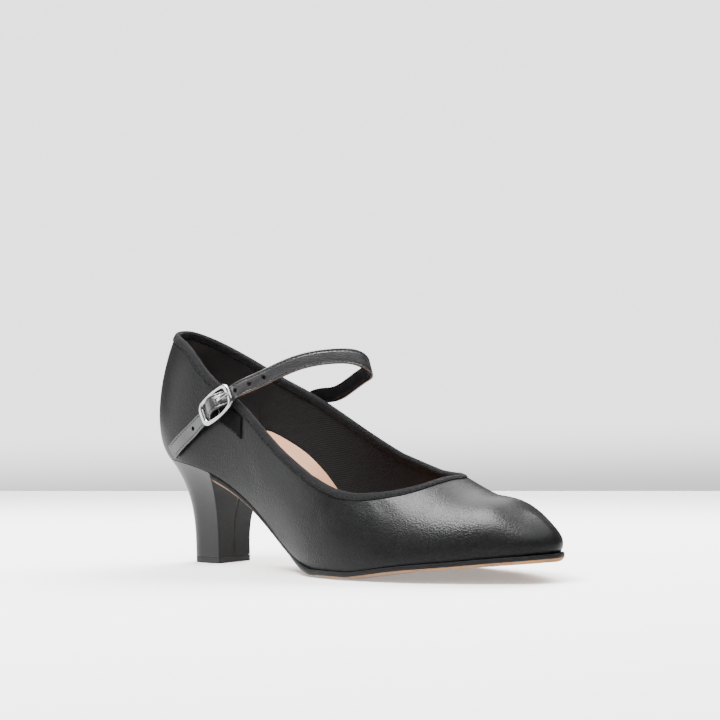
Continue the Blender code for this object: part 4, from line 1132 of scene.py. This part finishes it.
def coated_leather(name, colour, lighter, grain, depth, roughness, coat, gloss):
    """Split leather with a plastic coat, embossed with a pebble grain: gloss broken into small soft cells."""
    made, tree, shader = blank_material(name, roughness, gloss)
    place = add_node(tree, "TexCoord", output="Object")
    wander = {"Vector": place, "Scale": 1 / (2.6 * grain), "Detail": 2.0}
    wander = add_node(tree, "TexNoise", wander, "Color")
    shift = add_node(tree, "VectorMath", (wander, (0.5, 0.5, 0.5)), operation="SUBTRACT")
    shift = add_node(tree, "VectorMath", {0: shift, "Scale": 1.1 * grain}, operation="SCALE")
    bent = add_node(tree, "VectorMath", (place, shift), operation="ADD")
    cells = {"Vector": bent, "Scale": 1 / grain, "Smoothness": 0.55}
    cells = add_node(tree, "TexVoronoi", cells, feature="SMOOTH_F1")
    pebbles = add_node(tree, "MapRange", (cells, 0.15, 0.75, 1.0, 0.0), **FADE)
    patches = add_node(tree, "TexNoise", {"Vector": place, "Scale": 1 / (16 * MM), "Detail": 1.0})
    stretch = add_node(tree, "MapRange", (patches, 0.35, 0.65, 0.45, 1.0), **FADE)
    fine = {"Vector": bent, "Scale": 1 / (0.35 * grain), "Detail": 3.0, "Roughness": 0.6}
    fine = add_node(tree, "TexNoise", fine)
    height = add_node(tree, "Math", (fine, 0.35, pebbles), operation="MULTIPLY_ADD")
    height = add_node(tree, "Math", (height, stretch), operation="MULTIPLY")
    wave = add_node(tree, "TexNoise", {"Vector": place, "Scale": 1 / (6 * MM), "Detail": 1.0})
    soft = add_node(tree, "Bump", {"Height": wave, "Distance": 0.08 * MM, "Strength": 0.6})
    relief = {"Height": height, "Distance": depth, "Strength": 1.0, "Normal": soft}
    connect(tree, shader, {
        "Normal": add_node(tree, "Bump", relief),
        "Base Color": add_node(tree, "Mix", {0: pebbles, 6: linear(colour), 7: linear(lighter)}, **COLOURS),
        "Roughness": add_node(tree, "MapRange", (fine, 0.3, 0.7, roughness - 0.05, roughness + 0.07), **FADE),
        "Coat Weight": coat,
        "Coat Roughness": 0.28,
    })
    return made


def woven(name, colour, lighter, thread, depth, sheen):
    """Plain weave of crossing threads: matt, with a faint soft rim of light from the fibre ends."""
    made, tree, shader = blank_material(name, 0.85, 0.02)
    waves = pattern_waves(tree, thread, thread)[1]
    over = add_node(tree, "Math", waves, operation="MULTIPLY")
    height = add_node(tree, "Math", (over, 0.5, 0.5), operation="MULTIPLY_ADD")
    place = add_node(tree, "TexCoord", output="Object")
    fuzz = {"Vector": place, "Scale": 1 / (0.5 * MM), "Detail": 3.0, "Roughness": 0.6}
    fuzz = add_node(tree, "TexNoise", fuzz)
    height = add_node(tree, "Math", (fuzz, 0.5, height), operation="MULTIPLY_ADD")
    share = add_node(tree, "MapRange", (height, 0.2, 1.2, 0.0, 1.0), **FADE)
    connect(tree, shader, {
        "IOR": 1.45,
        "Normal": add_node(tree, "Bump", {"Height": height, "Distance": depth, "Strength": 1.0}),
        "Base Color": add_node(tree, "Mix", {0: share, 6: linear(colour), 7: linear(lighter)}, **COLOURS),
        "Sheen Weight": sheen,
        "Sheen Roughness": 0.5,
    })
    return made


def ribbed_tape(name, colour, lighter, rib, depth, pricks=None):
    """Ribbed woven tape: close cross ribs that catch a dull light, and dark holes from its stitching."""
    made, tree, shader = blank_material(name, 0.8, 0.12)
    (along, across), (wave, cross) = pattern_waves(tree, rib, rib * 0.6)
    ribs = add_node(tree, "Math", (wave, 0.5, 0.5), operation="MULTIPLY_ADD")
    place = add_node(tree, "TexCoord", output="Object")
    fuzz = {"Vector": place, "Scale": 1 / (0.6 * MM), "Detail": 3.0, "Roughness": 0.6}
    fuzz = add_node(tree, "TexNoise", fuzz)
    height = add_node(tree, "Math", (cross, 0.22, fuzz), operation="MULTIPLY_ADD")
    height = add_node(tree, "Math", (ribs, height), operation="ADD")
    share = add_node(tree, "MapRange", (height, 0.4, 1.7, 0.0, 1.0), **FADE)
    if pricks:
        pitch, row, size = pricks
        step = add_node(tree, "Math", (along, pitch), operation="DIVIDE")
        step = add_node(tree, "Math", (step,), operation="FRACT")
        ahead = add_node(tree, "Math", (step, 0.5), operation="SUBTRACT")
        ahead = add_node(tree, "Math", (ahead, pitch), operation="MULTIPLY")
        aside = add_node(tree, "Math", (across, row), operation="SUBTRACT")
        aside = add_node(tree, "Math", (aside, aside), operation="MULTIPLY")
        reach = add_node(tree, "Math", (ahead, ahead, aside), operation="MULTIPLY_ADD")
        reach = add_node(tree, "Math", (reach,), operation="SQRT")
        flat = add_node(tree, "MapRange", (reach, 0.4 * size, size, 0.0, 1.0), **FADE)
        share = add_node(tree, "Math", (share, flat), operation="MULTIPLY")
        height = add_node(tree, "Math", (height, 1.0), operation="ADD")
        height = add_node(tree, "Math", (height, flat), operation="MULTIPLY")
    connect(tree, shader, {
        "IOR": 1.45,
        "Normal": add_node(tree, "Bump", {"Height": height, "Distance": depth, "Strength": 1.0}),
        "Base Color": add_node(tree, "Mix", {0: share, 6: linear(colour), 7: linear(lighter)}, **COLOURS),
    })
    return made


def spun_thread(name, colour, lighter):
    """Bonded polyester thread: two twisted plies with a slight lustre."""
    made, tree, shader = blank_material(name, 0.6, 0.15)
    place = add_node(tree, "UVMap", uv_map="Place")
    along, across = (add_node(tree, "SeparateXYZ", (place,), way) for way in (0, 1))
    slant = add_node(tree, "Math", (across, 5200.0), operation="MULTIPLY")
    twist = add_node(tree, "Math", (along, 2 * math.pi / (0.7 * MM), slant), operation="MULTIPLY_ADD")
    ply = add_node(tree, "Math", (twist,), operation="SINE")
    ply = add_node(tree, "Math", (ply, 0.5, 0.5), operation="MULTIPLY_ADD")
    connect(tree, shader, {
        "Normal": add_node(tree, "Bump", {"Height": ply, "Distance": 0.06 * MM, "Strength": 1.0}),
        "Base Color": add_node(tree, "Mix", {0: ply, 6: linear(colour), 7: linear(lighter)}, **COLOURS),
    })
    return made


def smooth_leather(name, colour, darker, pore, depth, roughness, blotch=20 * MM):
    """Smooth dressed leather: close pores, a soft matt surface and slight clouding of the dye."""
    made, tree, shader = blank_material(name, roughness, 0.1)
    place = add_node(tree, "TexCoord", output="Object")
    pores = {"Vector": place, "Scale": 1 / pore, "Detail": 4.0, "Roughness": 0.65}
    pores = add_node(tree, "TexNoise", pores)
    cloud = add_node(tree, "TexNoise", {"Vector": place, "Scale": 1 / blotch, "Detail": 2.0})
    cloud = add_node(tree, "Math", (cloud, 0.65), operation="MULTIPLY")
    share = add_node(tree, "Math", (pores, 0.35, cloud), operation="MULTIPLY_ADD")
    share = add_node(tree, "MapRange", (share, 0.35, 0.65, 0.0, 1.0), **FADE)
    connect(tree, shader, {
        "Normal": add_node(tree, "Bump", {"Height": pores, "Distance": depth, "Strength": 1.0}),
        "Base Color": add_node(tree, "Mix", {0: share, 6: linear(darker), 7: linear(colour)}, **COLOURS),
    })
    return made


def speckled(name, colour, lighter, roughness, gloss, specks, depth, stretch=1.0):
    """A plain surface with fine specks in its colour and its relief. specks: size, detail and roughness."""
    made, tree, shader = blank_material(name, roughness, gloss)
    place = add_node(tree, "TexCoord", output="Object")
    place = add_node(tree, "Mapping", {"Vector": place, "Scale": (1.0, 1.0, stretch)})
    size, detail, rough = specks
    grit = {"Vector": place, "Scale": 1 / size, "Detail": detail, "Roughness": rough}
    grit = add_node(tree, "TexNoise", grit)
    relief = add_node(tree, "Bump", {"Height": grit, "Distance": depth, "Strength": 1.0})
    tones = add_node(tree, "Mix", {0: grit, 6: linear(colour), 7: linear(lighter)}, **COLOURS)
    connect(tree, shader, {"Normal": relief, "Base Color": tones})
    return made, tree, shader, relief.node


def heel_cover_film(name, colour, lighter):
    """Smooth coated leather stretched over the block: an even satin gloss with a trace of the grain."""
    grain = (0.9 * MM, 3.0, 0.6)
    made, tree, shader, relief = speckled(name, colour, lighter, 0.33, 0.42, grain, 0.03 * MM)
    place = add_node(tree, "TexCoord", output="Object")
    wave = add_node(tree, "TexNoise", {"Vector": place, "Scale": 1 / (12 * MM), "Detail": 1.0})
    soft = add_node(tree, "Bump", {"Height": wave, "Distance": 0.25 * MM, "Strength": 0.5})
    connect(tree, relief, {"Normal": soft})
    connect(tree, shader, {"Coat Weight": 0.15, "Coat Roughness": 0.2})
    return made


def moulded_rubber(name, colour, lighter):
    """Moulded rubber: matt, with fine scuffs where it meets the floor."""
    return speckled(name, colour, lighter, 0.62, 0.5, (0.6 * MM, 4.0, 0.7), 0.05 * MM)[0]


def edge_ink(name, colour, lighter):
    """Wax-burnished edge ink on cut leather: low gloss over faint layers of fibre."""
    return speckled(name, colour, lighter, 0.42, 0.25, (2.2 * MM, 3.0, 0.6), 0.07 * MM, 6.0)[0]


def chrome_plate(name, colour):
    """Bright chrome over a polished casting: mirror gloss with faint polishing waves and handling haze."""
    made, tree, shader = blank_material(name, 0.09)
    place = add_node(tree, "TexCoord", output="Object")
    wave = add_node(tree, "TexNoise", {"Vector": place, "Scale": 1 / (2.5 * MM), "Detail": 1.0})
    haze = add_node(tree, "TexNoise", {"Vector": place, "Scale": 1 / (4 * MM), "Detail": 3.0})
    connect(tree, shader, {
        "Metallic": 1.0,
        "Base Color": linear(colour),
        "Normal": add_node(tree, "Bump", {"Height": wave, "Distance": 0.04 * MM, "Strength": 0.6}),
        "Roughness": add_node(tree, "MapRange", (haze, 0.4, 0.7, 0.06, 0.16), **FADE),
    })
    return made


def studio_paper(name, colour, far_painted_shade_colour, glow):
    """Matt background paper with a barely visible tooth. It glows to near white as painted light, but less by
    the wall, where its colour also darkens as painted shade.
    """
    made, tree, shader = blank_material(name, 0.9, 0.1)
    object_place = add_node(tree, "TexCoord", output="Object")
    tooth = add_node(tree, "TexNoise", {"Vector": object_place, "Scale": 1 / (1.2 * MM), "Detail": 2.0})
    away = add_node(tree, "SeparateXYZ", (add_node(tree, "UVMap", uv_map="Place"),), 1)
    # near: 0 by the wall, where the colour holds painted shade and the glow fades, and 1 from COVE in front
    # of it
    near = add_node(tree, "MapRange", (away, 0.0, COVE, 0.0, 1.0), **FADE)
    connect(tree, shader, {
        "Base Color": add_node(tree, "Mix", {0: near, 6: linear(far_painted_shade_colour), 7: linear(colour)}, **COLOURS),
        "Emission Color": linear(colour),
        "Emission Strength": add_node(tree, "Math", (near, glow), operation="MULTIPLY"),
        "Normal": add_node(tree, "Bump", {"Height": tooth, "Distance": 0.02 * MM, "Strength": 1.0}),
    })
    return made


class CameraFrame:
    """The photograph's camera: its place, the way it faces, and the picture's axes."""

    def __init__(self):
        a, e, r = (math.radians(v) for v in (CAMERA_AZIMUTH, CAMERA_ELEVATION, CAMERA_ROLL))
        back = Vector((math.sin(a) * math.cos(e), -math.cos(a) * math.cos(e), math.sin(e)))
        right = Vector((math.cos(a), math.sin(a), 0))
        up = back.cross(right)
        across = right * math.cos(r) + up * math.sin(r)
        upright = -right * math.sin(r) + up * math.cos(r)
        middle = PICTURE_SIZE / 2
        shift = (middle - CAMERA_ABOUT_LANDS[0], middle - CAMERA_ABOUT_LANDS[1])
        self.forward = (-back * CAMERA_FOCUS + across * shift[0] - upright * shift[1]).normalized()
        self.right = self.forward.cross(upright).normalized()
        self.up = self.right.cross(self.forward)
        self.place = Vector(CAMERA_ABOUT) + back * CAMERA_DISTANCE

    def matrix(self):
        axes = Matrix((self.right, self.up, -self.forward)).transposed().to_4x4()
        return Matrix.Translation(self.place) @ axes

    def floor_at(self, x, y):
        """The place on the floor that a point of the picture shows."""
        middle = PICTURE_SIZE / 2
        ray = self.forward * CAMERA_FOCUS + self.right * (x - middle) - self.up * (y - middle)
        return self.place + ray * (-self.place.z / ray.z)


def make_floor(finish, camera):
    """A flat floor that stops where the photograph's wall begins."""
    first, second = camera.floor_at(0, WALL_LINE), camera.floor_at(PICTURE_SIZE, WALL_LINE)
    run = (second - first).normalized()
    towards = Vector((run.y, -run.x, 0))
    if towards.dot(camera.place - first) < 0:
        towards = -towards
    start = (first + second) / 2 - run * FLOOR_SIZE / 2
    places = [(FLOOR_SIZE * x, FLOOR_SIZE * y) for x, y in ((0, 0), (1, 0), (1, 1), (0, 1))]
    mesh = bpy.data.meshes.new("floor")
    mesh.from_pydata([tuple(start + run * x + towards * y) for x, y in places], [], [(0, 1, 2, 3)])
    layer = mesh.uv_layers.new(name="Place")
    for corner, place in zip(layer.data, places):
        corner.uv = place
    mesh.materials.append(finish)
    floor = bpy.data.objects.new("floor", mesh)
    bpy.context.scene.collection.objects.link(floor)
    floor.visible_glossy = False


def make_light(name, place, aim, size, power, mirrored):
    lamp = bpy.data.lights.new(name, "AREA")
    lamp.shape = "RECTANGLE"
    lamp.size, lamp.size_y = size
    lamp.energy = power
    thing = bpy.data.objects.new(name, lamp)
    thing.location = place
    thing.rotation_mode = "QUATERNION"
    thing.rotation_quaternion = (Vector(aim) - Vector(place)).to_track_quat("-Z", "Y")
    thing.visible_glossy = mirrored
    bpy.context.scene.collection.objects.link(thing)


def make_world(wall, low_wall_painted_shade, seen_power, powers):
    """The pale wall behind the floor, with painted shade at its foot, and a studio that is dim at floor level
    and bright overhead.
    """
    world = bpy.data.worlds.new("studio")
    world.use_nodes = True
    tree = world.node_tree
    tree.nodes.clear()
    direction = add_node(tree, "TexCoord", output="Generated")
    ahead, height = (add_node(tree, "SeparateXYZ", (direction,), way) for way in (0, 2))
    # share: 1 low down, where the wall takes the painted shade of its foot
    share = add_node(tree, "MapRange", (height, *WALL_FOOT, 1.0, 0.0), **FADE)
    tone = add_node(tree, "Mix", {0: share, 6: linear(wall), 7: linear(low_wall_painted_shade)}, **COLOURS)
    seen = add_node(tree, "Background", (tone, seen_power))
    below, level, above = powers
    lower = add_node(tree, "MapRange", (height, -0.10, 0.0, below, level), **FADE)
    to_rear = add_node(tree, "MapRange", (ahead, -0.6, 0.6, 1.0, 0.45), **FADE)
    lower = add_node(tree, "Math", (lower, to_rear), operation="MULTIPLY")
    upper = add_node(tree, "MapRange", (height, 0.55, 0.92, 0.0, above), **FADE)
    glow = add_node(tree, "Math", (lower, upper), operation="ADD")
    around = add_node(tree, "Background", (linear("#ffffff"), glow))
    seen_by_camera = add_node(tree, "LightPath", output="Is Camera Ray")
    add_node(tree, "OutputWorld", (add_node(tree, "MixShader", (seen_by_camera, around, seen)),))
    bpy.context.scene.world = world


def hex_colour(name, description, code):
    """A colour's property, which holds it as sRGB hex."""
    return bpy.props.StringProperty(name=name, description=description + ", as sRGB hex", default=code)


def length(name, description, size, least, most):
    """A length's property. The sizes are in millimetres."""
    return bpy.props.FloatProperty(
        name=name, description=description, default=size * MM, min=least * MM, max=most * MM,
        subtype="DISTANCE", unit="LENGTH")


class ShoeColours(bpy.types.PropertyGroup):
    """Colours of the shoe's materials."""

    leather: hex_colour("Leather", "Coated leather", "#0f0f10")
    leather_light: hex_colour("Leather pebbles", "Tops of the leather's grain", "#161617")
    # The strap's two colours are the upper's black leather made lighter, as painted highlight on the strap
    strap: hex_colour("Strap", "Coated leather of the strap", "#202021")
    strap_light: hex_colour("Strap pebbles", "Tops of the strap's grain", "#2a2a2b")
    backing: hex_colour("Strap backing", "Plain inner leather of the strap", "#151516")
    backing_dark: hex_colour("Strap backing, dark", "Dark clouding of the strap's backing", "#101011")
    tape: hex_colour("Tape", "Topline tape", "#0d0d0e")
    tape_light: hex_colour("Tape ribs", "Tops of the tape's ribs", "#2a2a2b")
    tape_thread: hex_colour("Tape thread", "Thread in the tape", "#090909")
    tape_thread_light: hex_colour("Tape thread, light", "Raised plies of the tape's thread", "#161616")
    strap_thread: hex_colour("Strap thread", "Thread in the strap", "#0d0d0d")
    strap_thread_light: hex_colour("Strap thread, light", "Raised plies of the strap's thread", "#262626")
    # The elastic's very dark colours stand partly for the elastic and partly for painted shade under the
    # buckle
    elastic: hex_colour("Elastic", "Woven elastic", "#070707")
    elastic_light: hex_colour("Elastic ribs", "Tops of the elastic's ribs", "#121212")
    elastic_thread: hex_colour("Elastic thread", "Thread in the elastic", "#1c1c1b")
    elastic_thread_light: hex_colour("Elastic thread, light", "Raised plies of that thread", "#303030")
    lining: hex_colour("Lining", "Woven vamp lining", "#111112")
    lining_light: hex_colour("Lining threads", "Raised lining threads", "#2b2b2c")
    grip: hex_colour("Heel grip", "Smooth quarter lining", "#2b2b2c")
    sock: hex_colour("Sock", "Sock lining", "#cf9c7e")
    sock_dark: hex_colour("Sock, dark", "Dark clouding of the sock", "#c59272")
    sole: hex_colour("Sole", "Sole leather", "#8e6c4c")
    sole_dark: hex_colour("Sole, dark", "Dark clouding of the sole leather", "#805e41")
    ink: hex_colour("Edge ink", "Inked sole edge", "#0c0c0d")
    heel: hex_colour("Heel cover", "Covered heel", "#0f0f10")
    worn: hex_colour("Worn black", "Other tone of the grip, the edge ink and the heel cover", "#222223")
    rubber: hex_colour("Lift", "Rubber top lift", "#1e1e1f")
    rubber_light: hex_colour("Lift scuffs", "Scuffs of the rubber top lift", "#2a2a2b")
    chrome: hex_colour("Buckle", "Chrome plate", "#f0f0ee")
    floor: hex_colour("Floor", "Floor paper", "#f0f0f0")
    # The far floor colour is painted shade where the paper meets the wall
    floor_painted_shade: hex_colour("Far floor", "Floor paper by the wall", "#b2b2b2")
    wall: hex_colour("Wall", "Wall behind the shoe", "#e1dfe0")
    # The wall's foot colour is painted shade where the wall meets the floor
    wall_foot_painted_shade: hex_colour("Wall foot", "Foot of the wall", "#969595")


class ShoeSizes(bpy.types.PropertyGroup):
    """Sizes of the details on the shoe's pieces."""

    grain: length("Grain", "Width of one pebble of the leather's grain", 0.8, 0.2, 5)
    grain_depth: length("Grain depth", "Depth of the leather's grain", 0.075, 0, 1)
    rib: length("Tape rib", "Spacing of the ribs, drawn coarser than real so that they show", 0.55, 0.2, 2)
    tape_swell: length("Tape swell", "How full the tape stands between fold and stitching", 0.12, 0, 1)
    weave: length("Lining weave", "Thread spacing, drawn coarser than real so that it shows", 1.15, 0.2, 3)
    topline_stitch: length("Topline stitch", "Length of one stitch in the tape", 2.5, 1, 6)
    strap_stitch: length("Strap stitch", "Length of one stitch in the strap", 1.9, 1, 6)
    thread: length("Thread", "Radius of the sewing thread", 0.17, 0.05, 1)
    stitch_inset: length("Stitch inset", "Stitching's distance from the strap's edge", 1.0, 0.3, 3)
    stitch_groove: length("Stitch groove", "Depth that the stitching pulls into the strap", 0.16, 0, 0.5)
    tape_row: length("Tape row", "Stitching's distance from the tape's lower edge", 1.0, 0.3, 2.5)
    seam_width: length("Heel seam", "Half width of the seam down the heel's breast", 0.45, 0.1, 2)
    seam_depth: length("Heel seam depth", "Depth of the seam down the heel's breast", 0.5, 0, 2)


def sizes():
    return bpy.context.scene.shoe_sizes


def colours():
    return bpy.context.scene.shoe_colours


class SHOE_OT_upper(bpy.types.Operator):
    """Build the leather upper with its linings"""

    bl_idname = "shoe.upper"
    bl_label = "Upper"

    def execute(self, context):
        s, c = sizes(), colours()
        leather = coated_leather(
            "coated_pebbled_leather", c.leather, c.leather_light, s.grain, s.grain_depth,
            roughness=0.34, coat=0.08, gloss=0.24)
        cloth = woven("cotton_drill_lining", c.lining, c.lining_light, s.weave, depth=0.12 * MM, sheen=0.04)
        grip = smooth_leather(
            "coated_grip_lining", c.grip, c.worn, pore=0.8 * MM, depth=0.03 * MM, roughness=0.5)
        make_upper([leather, cloth, grip])
        return {"FINISHED"}


class SHOE_OT_binding(bpy.types.Operator):
    """Build the folded tape round the topline and its stitching"""

    bl_idname = "shoe.binding"
    bl_label = "Topline binding"

    def execute(self, context):
        s, c = sizes(), colours()
        pricks = (s.topline_stitch, s.tape_row, 0.42 * MM)
        tape = ribbed_tape("woven_ribbed_tape", c.tape, c.tape_light, s.rib, 0.1 * MM, pricks)
        thread = spun_thread("bonded_thread", c.tape_thread, c.tape_thread_light)
        make_binding([tape], s.tape_swell)
        make_binding_stitches([thread], s.topline_stitch, s.thread, s.tape_row)
        return {"FINISHED"}


class SHOE_OT_bottom(bpy.types.Operator):
    """Build the sock, the outsole, the covered heel and its top lift"""

    bl_idname = "shoe.bottom"
    bl_label = "Sock, sole and heel"

    def execute(self, context):
        s, c = sizes(), colours()
        sock = smooth_leather(
            "glazed_sheep_sock_lining", c.sock, c.sock_dark, pore=0.9 * MM, depth=0.03 * MM, roughness=0.55)
        sole = smooth_leather(
            "tanned_sole_leather", c.sole, c.sole_dark, pore=0.7 * MM, depth=0.05 * MM, roughness=0.5,
            blotch=12 * MM)
        make_insole([sock])
        make_outsole([sole, edge_ink("waxed_edge_ink", c.ink, c.worn)])
        make_heel([heel_cover_film("coated_heel_cover", c.heel, c.worn)], s.seam_width, s.seam_depth)
        make_top_lift([moulded_rubber("moulded_rubber_lift", c.rubber, c.rubber_light)])
        return {"FINISHED"}


class SHOE_OT_strap(bpy.types.Operator):
    """Build the instep strap with its holes and edge stitching"""

    bl_idname = "shoe.strap"
    bl_label = "Strap"

    def execute(self, context):
        s, c = sizes(), colours()
        # The strap's lighter colours are painted highlight
        leather = coated_leather(
            "coated_strap_leather_with_painted_highlight", c.strap, c.strap_light, s.grain * 0.8, s.grain_depth * 0.8,
            roughness=0.3, coat=1.0, gloss=0.9)
        thread = spun_thread("bonded_strap_thread", c.strap_thread, c.strap_thread_light)
        backing = smooth_leather(
            "strap_backing_leather", c.backing, c.backing_dark, pore=0.8 * MM, depth=0.03 * MM,
            roughness=0.34)
        make_strap([leather, backing], s.stitch_inset, s.stitch_groove)
        make_strap_stitches([thread], s.strap_stitch, s.thread * 0.9, s.stitch_inset, s.stitch_groove)
        return {"FINISHED"}


class SHOE_OT_buckle(bpy.types.Operator):
    """Build the chrome buckle, its prong and the elastic that holds it"""

    bl_idname = "shoe.buckle"
    bl_label = "Buckle and elastic"

    def execute(self, context):
        s, c = sizes(), colours()
        chrome = chrome_plate("bright_chrome_plate", c.chrome)
        make_buckle([chrome])
        make_prong([chrome])
        # The elastic's dark patch is partly painted shade under the buckle
        elastic = ribbed_tape("woven_elastic_and_painted_shade", c.elastic, c.elastic_light, rib=0.7 * MM, depth=0.1 * MM)
        thread = spun_thread("elastic_thread", c.elastic_thread, c.elastic_thread_light)
        make_tab([elastic])
        make_tab_stitches([thread], s.thread)
        return {"FINISHED"}


class SHOE_OT_stage(bpy.types.Operator):
    """Build the floor, the lights, the wall's tone and the camera"""

    bl_idname = "shoe.stage"
    bl_label = "Stage"

    def execute(self, context):
        c = colours()
        camera = CameraFrame()
        make_floor(studio_paper("matt_studio_paper", c.floor, c.floor_painted_shade, glow=0.4), camera)
        make_world(c.wall, c.wall_foot_painted_shade, seen_power=3.5, powers=(1.9, 0.17, 2.5))
        for row in LIGHTS:
            make_light(*row)
        lens = bpy.data.cameras.new("photograph_camera")
        lens.sensor_width = SENSOR
        lens.lens = CAMERA_FOCUS * SENSOR / PICTURE_SIZE
        lens.clip_start, lens.clip_end = 0.01, 100
        thing = bpy.data.objects.new("photograph_camera", lens)
        thing.matrix_world = camera.matrix()
        bpy.context.scene.collection.objects.link(thing)
        bpy.context.scene.camera = thing
        return {"FINISHED"}


STEPS = (SHOE_OT_upper, SHOE_OT_binding, SHOE_OT_bottom, SHOE_OT_strap, SHOE_OT_buckle, SHOE_OT_stage)


class SHOE_PT_panel(bpy.types.Panel):
    """Sizes, colours and pieces of the shoe"""

    bl_idname = "SHOE_PT_panel"
    bl_label = "Character shoe"
    bl_space_type = "VIEW_3D"
    bl_region_type = "UI"
    bl_category = "Shoe"

    def draw(self, context):
        column = self.layout.column()
        for group in (sizes(), colours()):
            for name in group.bl_rna.properties.keys():
                if name not in ("rna_type", "name"):
                    column.prop(group, name)
        for step in STEPS:
            column.operator(step.bl_idname)


CLASSES = (ShoeColours, ShoeSizes) + STEPS + (SHOE_PT_panel,)


def register():
    for item in CLASSES:
        bpy.utils.register_class(item)
    bpy.types.Scene.shoe_sizes = bpy.props.PointerProperty(type=ShoeSizes)
    bpy.types.Scene.shoe_colours = bpy.props.PointerProperty(type=ShoeColours)


def unregister():
    del bpy.types.Scene.shoe_colours
    del bpy.types.Scene.shoe_sizes
    for item in reversed(CLASSES):
        bpy.utils.unregister_class(item)


def main():
    register()
    for step in STEPS:
        group, name = step.bl_idname.split(".")
        getattr(getattr(bpy.ops, group), name)()


if __name__ == "__main__":
    main()
